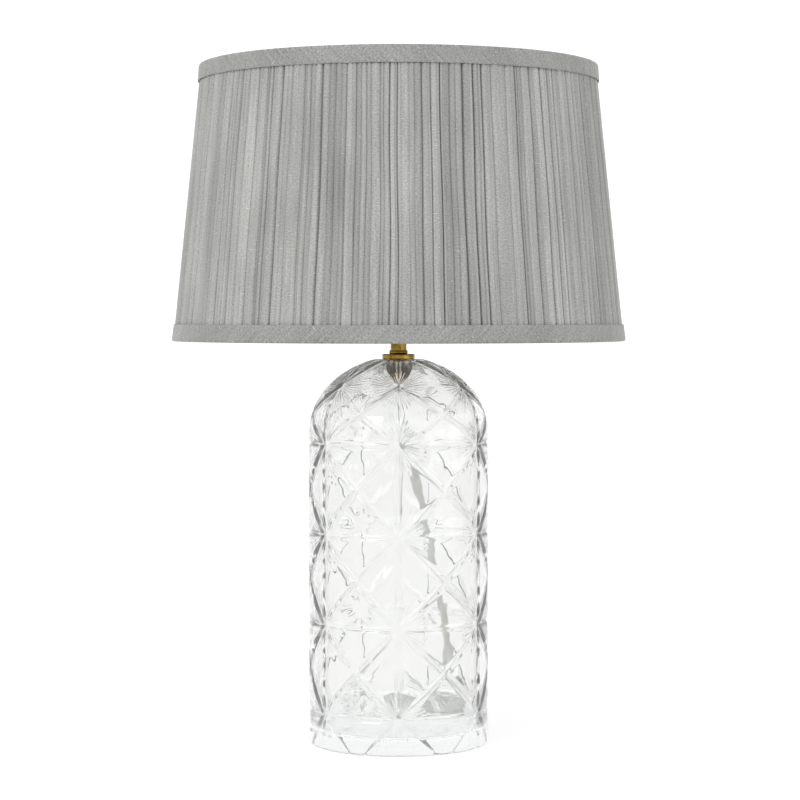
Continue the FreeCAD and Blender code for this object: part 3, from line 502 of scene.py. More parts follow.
@dataclass(frozen=True)
class MouldedFinish:
    """Moulded, glazed or coated material: a slightly cloudy colour and a fine skin."""

    name: str
    light: Colour
    dark: Colour
    roughness: float
    grain_scale: float = 900.0
    grain_height: float = 0.02 * MM
    clear: float = 0.0
    coat: float = 0.0
    glow: float = 0.0
    glow_depth: float = 4.0 * MM
    cloud_scale: float = 120.0
    roughness_spread: float = 0.15

    def build(self) -> bpy.types.Material:
        """Makes the material.

        Returns:
            The material.
        """
        shader = Shader(self.name)
        shader.put(Transmission_Weight=self.clear, Coat_Weight=self.coat)
        shader.put(Subsurface_Weight=self.glow, Subsurface_Scale=self.glow_depth)
        where = shader.place("Object")
        cloud = shader.noise(where, self.cloud_scale, 4.0)
        shader.into("Base Color", shader.ramp(cloud, [(0.3, self.dark), (0.7, self.light)]))
        levels = [self.roughness * (1 + side * self.roughness_spread) for side in (-1, 1)]
        shader.into("Roughness", shader.spread(cloud, 0.3, 0.7, *levels))
        shader.into("Normal", shader.bump(shader.noise(where, self.grain_scale, 3.0), self.grain_height))
        return shader.material


@dataclass(frozen=True)
class SilkFinish:
    """Slub silk: fine warp and weft, streaks of uneven thread and sparse light slubs."""

    name: str
    dark: Colour
    light: Colour
    slub: Colour
    turn: float = 0.0                                         # of the weave on the piece
    painted_fold_shade: float = 0.0                                   # painted shade darkening the bottom of a fold
    rib: float = FULL_TURN * 0.55 * MM                        # from one thick thread to the next
    rib_height: float = 0.12 * MM
    slub_height: float = 0.3 * MM
    weft: tuple[float, float, float] = (500, 900, 1)          # of the UV map, per metre
    warp: tuple[float, float, float] = (520, 14, 1)
    slubs: tuple[float, float, float] = (95, 1150, 1)
    patches: tuple[float, float, float] = (18, 9, 1)
    uneven_tone: tuple[float, float] = (0.82, 1.1)            # of streaks and patches
    painted_pleat_shading: tuple[float, float] = (0.68, 1.14)            # painted light and shade of whole pleats, as if each faced the light at its own angle
    slub_share: tuple[float, float] = (0.665, 0.74)           # noise at which a slub shows
    roughness: tuple[float, float] = (0.62, 0.42)             # of plain thread and of slubs

    def tinted(self, shader: Shader, tone: bpy.types.NodeSocket, value: bpy.types.NodeSocket,
               span: tuple[float, float], levels: tuple[float, float]) -> bpy.types.NodeSocket:
        """Darkens and lightens the cloth by a value.

        Args:
            shader: The material that gets the nodes.
            tone: Colour of the cloth so far.
            value: The value.
            span: Values between which the tone changes.
            levels: What the colour is multiplied by at both ends.

        Returns:
            The socket with the new colour.
        """
        factor = shader.ramp(value, [(place, grey(level)) for place, level in zip(span, levels)])
        return shader.mix(1.0, tone, factor, "MULTIPLY")

    def colour(self, shader: Shader, speck: bpy.types.NodeSocket) -> bpy.types.NodeSocket:
        """Colour of the cloth: threads, streaks, patches and slubs, and, if it has folds, painted light and
        shade on its pleats and painted shade in its folds.

        Args:
            shader: The material that gets the nodes.
            speck: Share of slub, from 0 to 1.

        Returns:
            The socket with the colour.
        """
        weft, warp, patches = (shader.place("UV", scale, self.turn)
                               for scale in (self.weft, self.warp, self.patches))
        tone = shader.ramp(shader.noise(weft, 1.0, 3.0, 0.6), [(0.32, self.dark), (0.66, self.light)])
        for noise in (shader.noise(warp, 1.0, 3.0, 0.6), shader.noise(patches, 1.0, 4.0)):
            tone = self.tinted(shader, tone, noise, (0.3, 0.7), self.uneven_tone)
        tone = shader.mix(speck, tone, self.slub)
        if self.painted_fold_shade:
            # Painted light and shade: each pleat is lighter or darker, as if it faced the light at its own
            # angle.
            pleat = shader.node("ShaderNodeAttribute", attribute_name="tone").outputs["Fac"]
            tone = self.tinted(shader, tone, pleat, (0.0, 1.0), self.painted_pleat_shading)
            # Painted shade: the bottom of each fold is darkened in the cloth's colour.
            fold = shader.node("ShaderNodeAttribute", attribute_name="fold").outputs["Fac"]
            tone = self.tinted(shader, tone, fold, (0.08, 0.72), (1 - self.painted_fold_shade, 1.0))
        return tone

    def build(self) -> bpy.types.Material:
        """Makes the material.

        Returns:
            The material.
        """
        shader = Shader(self.name)
        shader.put(Sheen_Weight=0.35, Sheen_Roughness=0.4, Specular_IOR_Level=0.35)
        slubs = shader.noise(shader.place("UV", self.slubs, self.turn), 1.0, 2.0, 0.55)
        speck = shader.spread(slubs, *self.slub_share)
        shader.into("Base Color", self.colour(shader, speck))
        shader.into("Roughness", shader.spread(speck, 0.0, 1.0, *self.roughness))
        lines = shader.node("ShaderNodeTexWave", wave_type="BANDS", bands_direction="Y")
        lines.inputs["Scale"].default_value = FULL_TURN / (self.rib * WAVE_RADIANS)
        lines.inputs["Distortion"].default_value = 1.2
        shader.link(shader.place("UV", turn=self.turn), lines.inputs["Vector"])
        normal = shader.bump(lines.outputs["Fac"], self.rib_height, 0.6)
        shader.into("Normal", shader.bump(speck, self.slub_height, 0.8, normal))
        return shader.material


ANTIQUE_BRASS = MetalFinish("antique_brass", (0.37, 0.235, 0.05), (0.15, 0.09, 0.018), (0.15, 0.3))
BRIGHT_BRASS = MetalFinish("bright_brass", (0.78, 0.58, 0.26), (0.62, 0.44, 0.18), (0.2, 0.34))
PLATED_STEEL = MetalFinish("plated_steel", (0.52, 0.49, 0.41), (0.34, 0.31, 0.25), (0.3, 0.46), 240.0)
NICKEL = MetalFinish("nickel_plate", (0.76, 0.75, 0.72), (0.6, 0.58, 0.55), (0.16, 0.28))
WHITE_WIRE = MouldedFinish("coated_wire", (0.82, 0.82, 0.8), (0.74, 0.74, 0.71), 0.38, 500.0, 0.00004)
CERAMIC = MouldedFinish("glazed_ceramic", (0.88, 0.87, 0.83), (0.8, 0.79, 0.74), 0.22, coat=0.4)
NYLON = MouldedFinish("black_nylon", (0.045, 0.045, 0.045), (0.025, 0.025, 0.025), 0.42)
RUBBER = MouldedFinish("brown_rubber", (0.06, 0.047, 0.035), (0.035, 0.027, 0.02), 0.6, 400.0, 0.00006)
INSULATION = MouldedFinish("core_insulation", (0.33, 0.18, 0.09), (0.24, 0.12, 0.06), 0.45)
CLEAR_PLASTIC = MouldedFinish("clear_plastic", (0.80, 0.81, 0.79), (0.70, 0.71, 0.69), 0.2, 60.0, 0.0002,
                              clear=0.45)
FROSTED = MouldedFinish("frosted_bulb", (0.9, 0.9, 0.87), (0.86, 0.86, 0.83), 0.38, glow=0.4)
GREY_FLEX = MouldedFinish("clear_grey_flex", (0.80, 0.80, 0.755), (0.60, 0.60, 0.56), 0.3, 40.0, 0.0002,
                          coat=0.5)
SHADE_SILK = SilkFinish("gathered_silk", (0.36, 0.36, 0.345), (0.60, 0.60, 0.58), (0.95, 0.95, 0.93),
                        painted_fold_shade=0.82)
BIAS_SILK = SilkFinish("bias_silk", (0.25, 0.25, 0.235), (0.50, 0.50, 0.485), (0.95, 0.95, 0.93),
                       turn=math.radians(45))
LINING = SilkFinish("lining_cotton", (0.66, 0.65, 0.61), (0.76, 0.75, 0.71), (0.84, 0.83, 0.8))

CAD_FINISHES = {
    CLEAR_PLASTIC: ("cord_grommet", "plug_body"),
    RUBBER: ("stopper_bung", "neck_seal"),
    ANTIQUE_BRASS: ("stopper_washer", "stopper_nut", "neck_flange", "spacer_tube", "holder_cap",
                    "holder_shell", "shade_ring"),
    PLATED_STEEL: ("threaded_stem",),
    GREY_FLEX: ("cord_in_stem",),
    CERAMIC: ("holder_insulator",),
    BRIGHT_BRASS: ("contact_shell", "centre_contact", "terminal_screws", "bulb_contact"),
    INSULATION: ("core_wires",),
    NYLON: ("cord_grip", "switch_bar"),
    FROSTED: ("bulb_glass",),
    NICKEL: ("bulb_cap", "plug_pins"),
    WHITE_WIRE: ("carrier_ring", "carrier_arms", "bottom_wire_ring", "top_wire_ring", "frame_struts"),
}


class FinishShelf:
    """Builds each finish once and hands it out."""

    def __init__(self) -> None:
        """Starts empty."""
        self.made: dict[str, bpy.types.Material] = {}

    def get(self, finish: GlassFinish | MetalFinish | MouldedFinish | SilkFinish) -> bpy.types.Material:
        """Looks a finish up, and builds it the first time.

        Args:
            finish: The finish.

        Returns:
            Its material.
        """
        if finish.name not in self.made:
            self.made[finish.name] = finish.build()
        return self.made[finish.name]

    def dress_cad(self) -> None:
        """Gives every carried-over CAD node its finish."""
        for finish, nodes in CAD_FINISHES.items():
            for node in nodes:
                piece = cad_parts[node]
                if not piece.material_slots:
                    piece.data.materials.append(None)
                for slot in piece.material_slots:
                    slot.material = self.get(finish)
                LOG.info("%s has the finish %s", node, finish.name)


# ------------------------------------------------------------------ cord


@dataclass
class Flex:
    """The clear flex: one stretch inside the bottle and one outside, wound into a coil."""

    radius: float = 3.0 * MM
    exit_azimuth: float = math.radians(40)
    coil_centre: Vector = field(default_factory=lambda: Vector((27.0, 140.0, 0)) * MM)
    coil_inner: float = 24.2 * MM
    half_turn_step: float = 3.9 * MM
    layer: float = 6.6 * MM
    turns_in: int = 6
    turns_out: int = 5
    points_in_half_turn: int = 10
    steps_between_points: int = 6
    bevel_steps: int = 4
    inside_length: float = 290.9 * MM
    outside_length: float = 1516.3 * MM

    def in_exit_plane(self, radius: float, height: float) -> Vector:
        """Point in the upright plane through the axis and the hole in the glass, from mm."""
        turned = Vector((math.cos(self.exit_azimuth), math.sin(self.exit_azimuth), 0))
        return turned * radius * MM + Vector((0, 0, height * MM))

    def inside_route(self) -> list[Vector]:
        """Control points in the bottle.

        Returns:
            The points, from the stem to the inner end of the bush.
        """
        route = [
            (0, 320.5), (0, 307.5), (3.8, 290.5), (9.5, 266), (17.5, 241), (28, 206), (39.5, 170),
            (49, 135), (55.5, 105), (59, 81), (60, 63), (60.6, 54), (63.2, 47.8), (67.5, 45), (72.5, 45),
        ]
        return [self.in_exit_plane(radius, height) for radius, height in route]

    def lead_route(self) -> list[Vector]:
        """Control points down to the table.

        Returns:
            The points, from the inner end of the bush to the coil.
        """
        down = [
            (75.8, 67.8, 41.0), (79.3, 80.5, 33.5), (79.6, 94.0, 20.5), (78.6, 105.0, 10.8),
            (76.4, 115.5, 5.2), (74.6, 125, 3), (74.6, 134, 3),
        ]
        straight_out = [self.in_exit_plane(72.5, 45), self.in_exit_plane(89.0, 45)]
        return straight_out + [Vector(point) * MM for point in down]

    def tail_route(self) -> list[Vector]:
        """Control points from the coil to the plug."""
        tail = [(21, 185.65, 9.6), (11, 185.65, 9.6), (1, 186.15, 8.4), (-8, 187, 7), (-17, 187, 7)]
        return [Vector(point) * MM for point in tail]

    def coil_route(self) -> list[Vector]:
        """Control points of the coil: in on the table, up a layer, and out again.

        Returns:
            The points, in order.
        """
        radius = self.coil_inner + self.turns_in * self.half_turn_step
        height = self.radius
        angle = 0.0
        legs = [(-self.half_turn_step, 0.0, 1.0)] * self.turns_in
        legs += [(0.0, self.layer, 1.0)]
        legs += [(self.half_turn_step, 0.0, 1.0)] * self.turns_out
        legs += [(self.half_turn_step / 2, 0.0, 0.5)]
        route = []
        for grow, climb, share in legs:
            count = round(self.points_in_half_turn * share)
            for step in range(count):
                along = (step + 0.5) / count
                turn = angle + math.pi * share * along
                eased = (1 - math.cos(math.pi * along)) / 2
                reach = (radius + grow * eased) / math.cos(math.pi / self.points_in_half_turn / 2)
                outward = Vector((math.cos(turn), math.sin(turn), 0))
                route.append(self.coil_centre + outward * reach + Vector((0, 0, height + climb * eased)))
            radius += grow
            height += climb
            angle += math.pi * share
        return route

    def tube(self, name: str, route: list[Vector]) -> bpy.types.Object:
        """Round flex along a smooth spline.

        Args:
            name: Name of the piece.
            route: Control points of the spline.

        Returns:
            The curve object.
        """
        curve = bpy.data.curves.new(name, "CURVE")
        curve.dimensions = "3D"
        spline = curve.splines.new("NURBS")
        spline.points.add(len(route) - 1)
        for point, place in zip(spline.points, route):
            point.co = (*place, 1)
        spline.order_u = 3
        spline.use_endpoint_u = True
        curve.resolution_u = self.steps_between_points
        spline.resolution_u = self.steps_between_points
        curve.bevel_depth = self.radius
        curve.bevel_resolution = self.bevel_steps
        curve.use_fill_caps = True
        piece = bpy.data.objects.new(name, curve)
        bpy.context.collection.objects.link(piece)
        return piece

    def build(self, shelf: FinishShelf) -> None:
        """Args:
            shelf: The finishes.
        """
        inside = self.tube("inner_flex", self.inside_route())
        settle(inside, Body.BASE, "cord_flex", shelf.get(GREY_FLEX), "cord_inside")
        route = self.lead_route() + self.coil_route() + self.tail_route()
        outside = self.tube("outer_flex", route)
        settle(outside, Body.BASE, "cord_flex", shelf.get(GREY_FLEX), "cord_lead", "cord_coil", "cord_tail")


# ------------------------------------------------------------------ glass


@dataclass
class GlassBottle:
    """The relief-cut glass bottle: rings, columns and diagonals, with fans at their crossings.

    The crossings beside the front one stand 54 and 61 degrees from it, and the other columns share
    the rest of the turn evenly.
    """

    wall_radius: float = 79.5 * MM
    wall_height: float = 275.0 * MM
    shoulder_radius: float = 62.0 * MM
    seat_radius: float = 20.9 * MM
    seat_height: float = 341.0 * MM
    crown_radius: float = 88.83 * MM
    wall: float = 5.5 * MM
    floor: float = 14.0 * MM
    corner: float = 4.0 * MM
    bore: float = 10.0 * MM
    foot_rings: tuple[float, ...] = (0.0, 40.0 * MM, 74.0 * MM)
    seat_ring: float = 15.5 * MM
    cavity_rings: tuple[float, ...] = (220.0 * MM, 160.0 * MM, 100.0 * MM, 60.0 * MM, 30.0 * MM)
    floor_rings: tuple[float, ...] = (45.0 * MM, 20.0 * MM, 0.0)
    crown_steps: int = 8
    shoulder_steps: int = 10
    corner_steps: int = 4
    columns: int = 7
    column_degrees: tuple[float, ...] = (0, 61, 110, 159, 208, 257, 306, 360)  # from the front
    first_row: float = 31.0 * MM
    row_step: float = 78.9 * MM
    wall_rows: int = 4
    dome_share: float = 0.53
    column_steps: int = 48
    row_steps: tuple[int, ...] = (22, 48, 48, 48, 40, 26)
    groove_depth: float = 1.7 * MM
    groove_half: float = 3.1 * MM
    panel_crown: float = 0.35 * MM
    panel_rise: float = 16.0 * MM
    ring_cuts: tuple[float, ...] = (0.0, 1.0, 1.0, 1.0, 1.0, 0.12, 0.0)  # share of the full depth
    diagonal_cuts: tuple[float, ...] = (1.0, 1.0, 1.0, 1.0, 0.7, 0.4)
    column_fade: float = 0.55        # share of the columns' depth that the shoulder takes away
    faint_cut: float = 0.2           # share of the full depth up to which a cut leaves a panel whole
    rays_in_turn: int = 40
    ray_depth: float = 0.22 * MM
    ray_reach: tuple[float, float] = (9.0 * MM, 31.0 * MM)
    ray_full: float = 1.5            # of the start of the rays
    ray_fade: float = 0.75           # of their end
    ripple_share: float = 0.002      # of the radius, inside
    foot_round: float = 1.6 * MM
    foot_round_depth: float = 0.7    # of its height
    exit_azimuth: float = math.radians(40)
    exit_height: float = 45.0 * MM
    exit_hole: float = 5.0 * MM
    exit_drill: float = 20.0 * MM
    exit_steps: int = 48
    spot_radius: float = 7.6 * MM
    spot_face: float = 77.8 * MM

    def __post_init__(self) -> None:
        """Works out the arcs and the rows from the driving sizes."""
        self.shoulder_centre = self.wall_radius - self.shoulder_radius
        reach = self.crown_radius - self.shoulder_radius
        self.crown_drop = math.sqrt(reach ** 2 - self.shoulder_centre ** 2)
        self.crown_centre = self.wall_height - self.crown_drop
        self.shoulder_swing = math.atan2(self.crown_drop, self.shoulder_centre)
        self.shoulder_end = self.wall_height + self.shoulder_radius * self.shoulder_swing
        self.seat_swing = math.acos(self.seat_radius / self.crown_radius)
        self.length = self.shoulder_end + self.crown_radius * (self.seat_swing - self.shoulder_swing)
        rings = [self.first_row + self.row_step * row for row in range(self.wall_rows)]
        dome_ring = rings[-1] + self.dome_share * (self.length - rings[-1])
        self.rows = [0.0, *rings, dome_ring, self.length]

    def outline(self, along: float) -> tuple[float, float, float]:
        """Point of the outline at a length from the foot.

        Args:
            along: Length along the outline.

        Returns:
            Radius, height and the normal's angle above the level.
        """
        if along <= self.wall_height:
            return self.wall_radius, along, 0.0
        if along <= self.shoulder_end:
            swing = (along - self.wall_height) / self.shoulder_radius
            radius = self.shoulder_centre + self.shoulder_radius * math.cos(swing)
            return radius, self.wall_height + self.shoulder_radius * math.sin(swing), swing
        swing = self.shoulder_swing + (along - self.shoulder_end) / self.crown_radius
        height = self.crown_centre + self.crown_radius * math.sin(swing)
        return self.crown_radius * math.cos(swing), height, swing

    def outside(self) -> list[tuple[float, float, float]]:
        """Foot and cut outside, each point with its length along the outline.

        Returns:
            The points, from the middle of the foot to the edge of the seat.
        """
        points = [(ring, 0.0, UNCUT) for ring in self.foot_rings]
        for row, steps in enumerate(self.row_steps):
            low, high = self.rows[row], self.rows[row + 1]
            for step in range(steps):
                along = low + (high - low) * step / steps
                radius, height, _ = self.outline(along)
                points.append((radius, height, along))
        return [*points, (self.seat_radius, self.seat_height, self.length)]

    def inside(self) -> list[tuple[float, float, float]]:
        """Seat, bore and cavity.

        Returns:
            The points, from the seat to the middle of the floor.
        """
        points = [(self.seat_ring, self.seat_height), (self.bore, self.seat_height)]
        inner_crown = self.crown_radius - self.wall
        start = math.acos(self.bore / inner_crown)
        for step in range(self.crown_steps + 1):
            swing = start + (self.shoulder_swing - start) * step / self.crown_steps
            height = self.crown_centre + inner_crown * math.sin(swing)
            points.append((inner_crown * math.cos(swing), height))
        inner_shoulder = self.shoulder_radius - self.wall
        for step in range(1, self.shoulder_steps + 1):
            swing = self.shoulder_swing * (1 - step / self.shoulder_steps)
            radius = self.shoulder_centre + inner_shoulder * math.cos(swing)
            points.append((radius, self.wall_height + inner_shoulder * math.sin(swing)))
        inner = self.wall_radius - self.wall
        points += [(inner, height) for height in self.cavity_rings]
        for step in range(self.corner_steps + 1):
            swing = math.pi / 2 * step / self.corner_steps
            radius = inner - self.corner * (1 - math.cos(swing))
            points.append((radius, self.floor + self.corner * (1 - math.sin(swing))))
        points += [(ring, self.floor) for ring in self.floor_rings]
        return [(radius, height, UNCUT) for radius, height in points]

    def azimuth_at(self, turn: float) -> float:
        """Azimuth of a place round the bottle.

        Args:
            turn: The place, in columns from the front.

        Returns:
            The azimuth from +X, in radians.
        """
        column = math.floor(turn)
        low, high = self.column_degrees[column], self.column_degrees[column + 1]
        return math.radians(low + (high - low) * (turn - column)) - math.pi / 2

    def column_width(self, column: int, along: float) -> float:
        """Width of a column at a length along the outline."""
        angle = self.column_degrees[column + 1] - self.column_degrees[column]
        return self.outline(along)[0] * math.radians(angle)

    def diagonals(self, row: int) -> tuple[tuple[float, float, float, float], ...]:
        """Ends of the two diagonals of a cell.

        Args:
            row: Row of the cell, from the foot.

        Returns:
            Each diagonal's start and end across and up, as shares of the cell's width and height.
        """
        if row == 0:
            reach = self.first_row / self.row_step
            return (0, 1, reach, 0), (1, 1, 1 - reach, 0)
        if row == len(self.row_steps) - 1:
            return (0, 0, 0.5, 1), (1, 0, 0.5, 1)
        return (0, 0, 1, 1), (0, 1, 1, 0)

    def groove(self, gap: float) -> float:
        """Section of a full groove.

        Args:
            gap: Distance from its line.

        Returns:
            Its depth there.
        """
        if gap >= self.groove_half:
            return 0.0
        return self.groove_depth * 0.5 * (1 + math.cos(math.pi * gap / self.groove_half))

    def ray(self, across: float, up: float) -> float:
        """Depth of the rays that fan out from a crossing.

        Args:
            across: Level distance from the crossing.
            up: Distance from it along the outline.

        Returns:
            The depth there.
        """
        start, end = self.ray_reach
        reach = math.hypot(across, up)
        if not start < reach < end:
            return 0.0
        body = smooth_step(start, start * self.ray_full, reach)
        body *= 1 - smooth_step(end * self.ray_fade, end, reach)
        return self.ray_depth * body * max(0.0, math.cos(self.rays_in_turn * math.atan2(up, across)))

    def relief(self, turn: float, along: float) -> float:
        """How far the outside stands above its plain outline; grooves are below it.

        Args:
            turn: Place round the bottle, in columns from the front.
            along: Length along the outline.

        Returns:
            The height along the outline's normal.
        """
        column, u = math.floor(turn), turn % 1.0
        row = max(index for index in range(len(self.row_steps)) if along >= self.rows[index] - 1e-9)
        low, high = self.rows[row], self.rows[row + 1]
        width = self.column_width(column, along)
        height = high - low
        v = (along - low) / height
        fade = 1 - self.column_fade * smooth_step(self.wall_height, self.rows[-2], along)
        cuts = [(u * width, fade), ((1 - u) * width, fade)]
        cuts += [(v * height, self.ring_cuts[row]), ((1 - v) * height, self.ring_cuts[row + 1])]
        for u0, v0, u1, v1 in self.diagonals(row):
            run, rise = (u1 - u0) * width, (v1 - v0) * height
            gap = abs((u - u0) * width * rise - (v - v0) * height * run) / math.hypot(run, rise)
            cuts.append((gap, self.diagonal_cuts[row]))
        nearest = min(gap for gap, share in cuts if share > self.faint_cut)
        lift = self.panel_crown * smooth_step(self.groove_half, self.panel_rise, nearest)
        lift -= max(share * self.groove(gap) for gap, share in cuts)
        ring = min(self.rows[1:-1], key=lambda place: abs(place - along))
        lift -= self.ray(min(u, 1 - u) * width, abs(along - ring))
        if along < self.foot_round:
            lift -= self.foot_round * self.foot_round_depth * (1 - along / self.foot_round) ** 2
        return lift

    def ripple(self, azimuth: float, height: float) -> float:
        """Share of the radius by which the inside wanders at a place, as on pressed glass."""
        return self.ripple_share * math.sin(3 * azimuth + 31 * height) * math.sin(2 * azimuth - 47 * height)

    def carve(self, bm: bmesh.types.BMesh) -> None:
        """Moves the vertices to the cut relief, and levels the spot face of the bush.

        Args:
            bm: The plain bottle, which also gets the layer "turn" with each place in columns.
        """
        mark = bm.verts.layers.float["mark"]
        turns = bm.verts.layers.float.new("turn")
        out = Vector((math.cos(self.exit_azimuth), math.sin(self.exit_azimuth), 0))
        side = Vector((-out.y, out.x, 0))
        for vertex in bm.verts:
            even = math.atan2(vertex.co.y, vertex.co.x) + math.pi / 2
            steps = round(even / FULL_TURN * self.columns * self.column_steps)
            turn = (steps % (self.columns * self.column_steps)) / self.column_steps
            azimuth = self.azimuth_at(turn)
            vertex[turns] = turn
            radius, height, along = vertex.co.to_2d().length, vertex.co.z, vertex[mark]
            cut = along > UNCUT / 2
            if cut:
                radius, height, swing = self.outline(along)
                lift = self.relief(turn, along)
                radius += lift * math.cos(swing)
                height += lift * math.sin(swing)
            elif height > self.floor + self.corner and radius > self.wall_radius / 2:
                radius *= 1 + self.ripple(azimuth, height)
            vertex.co = (radius * math.cos(azimuth), radius * math.sin(azimuth), height)
            aside = math.hypot(vertex.co.dot(side), vertex.co.z - self.exit_height)
            if cut and aside < self.spot_radius and vertex.co.dot(out) > 0:
                vertex.co += out * (self.spot_face - vertex.co.dot(out))

    def map_fans(self, bm: bmesh.types.BMesh) -> None:
        """Gives the outside a UV map of each place beside its nearest crossing, in metres.

        Args:
            bm: The carved bottle.
        """
        uv = bm.loops.layers.uv.new("UVMap")
        mark = bm.verts.layers.float["mark"]
        turns = bm.verts.layers.float["turn"]
        for face in bm.faces:
            alongs = [loop.vert[mark] for loop in face.loops]
            if min(alongs) < 0:
                for loop in face.loops:
                    loop[uv].uv = FAR_FROM_FANS
                continue
            places = [loop.vert[turns] for loop in face.loops]
            if max(places) - min(places) > self.columns / 2:
                places = [place + self.columns if place < 1 else place for place in places]
            middle = sum(places) / len(places)
            along = sum(alongs) / len(alongs)
            crossing = round(middle)
            ring = min(self.rows[1:-1], key=lambda height: abs(height - along))
            width = self.column_width(math.floor(middle) % self.columns, along)
            for loop, place in zip(face.loops, places):
                loop[uv].uv = ((place - crossing) * width, loop.vert[mark] - ring)

    def drill(self, piece: bpy.types.Object) -> None:
        """Cuts the hole for the bush through the wall.

        Args:
            piece: The bottle.
        """
        bm = bmesh.new()
        bmesh.ops.create_cone(bm, cap_ends=True, segments=self.exit_steps, radius1=self.exit_hole,
                              radius2=self.exit_hole, depth=self.exit_drill)
        middle = self.wall_radius - self.wall / 2
        place = Matrix.Rotation(self.exit_azimuth, 4, "Z") @ Matrix.Translation((middle, 0, self.exit_height))
        bm.transform(place @ Matrix.Rotation(math.pi / 2, 4, "Y"))
        cutter = new_object("exit_cutter", bm)
        cut = piece.modifiers.new("hole", "BOOLEAN")
        cut.operation = "DIFFERENCE"
        cut.solver = "EXACT"
        cut.object = cutter
        baked(piece)
        bpy.data.objects.remove(cutter)

    def build(self, shelf: FinishShelf) -> None:
        """Makes the bottle.

        Args:
            shelf: The finishes.
        """
        bm = spun(self.outside() + self.inside(), self.columns * self.column_steps, closed=False)
        self.carve(bm)
        self.map_fans(bm)
        piece = new_object("glass_bottle", bm)
        self.drill(piece)
        settle(piece, Body.BASE, "glass", shelf.get(GlassFinish()), "glass_base")


# ------------------------------------------------------------------ brass neck


@dataclass
class BeadedCollar:
    """Ring of beads between the flange and the spacer tube."""

    bore: float = 5.2 * MM
    rim_radius: float = 7.4 * MM
    bead_root: float = 7.5 * MM
    bead_bulge: float = 0.7 * MM
    bead_height: float = 0.92        # of the collar's height
    bead_depth: float = 0.45 * MM    # of the nicks between beads
    bead_fullness: float = 0.7       # the lower, the rounder
    beads: int = 30
    bead_steps: int = 8

    def build(self, shelf: FinishShelf) -> None:
        """Makes the collar between its neighbours' faces.

        Args:
            shelf: The finishes.
        """
        low, high = (corner.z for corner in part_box("collar_ring"))
        height = high - low
        profile = [(self.bore, low, 0.0), (self.rim_radius, low, 0.0)]
        for step in range(self.bead_steps + 1):
            swing = math.pi * (step / self.bead_steps - 0.5)
            radius = self.bead_root + self.bead_bulge * math.cos(swing)
            rise = height * (1 + self.bead_height * math.sin(swing)) / 2
            profile.append((radius, low + rise, math.cos(swing)))
        profile += [(self.rim_radius, high, 0.0), (self.bore, high, 0.0)]
        bm = spun(profile, self.beads * self.bead_steps, closed=True)
        mark = bm.verts.layers.float["mark"]
        for vertex in bm.verts:
            azimuth = math.atan2(vertex.co.y, vertex.co.x)
            wave = abs(math.sin(azimuth * self.beads / 2)) ** self.bead_fullness
            radius = vertex.co.to_2d().length
            vertex.co.xy *= (radius - self.bead_depth * (1 - wave) * vertex[mark]) / radius
        settle(new_object("beaded_collar", bm), Body.BASE, "brass", shelf.get(ANTIQUE_BRASS), "collar_ring")


# ------------------------------------------------------------------ shade


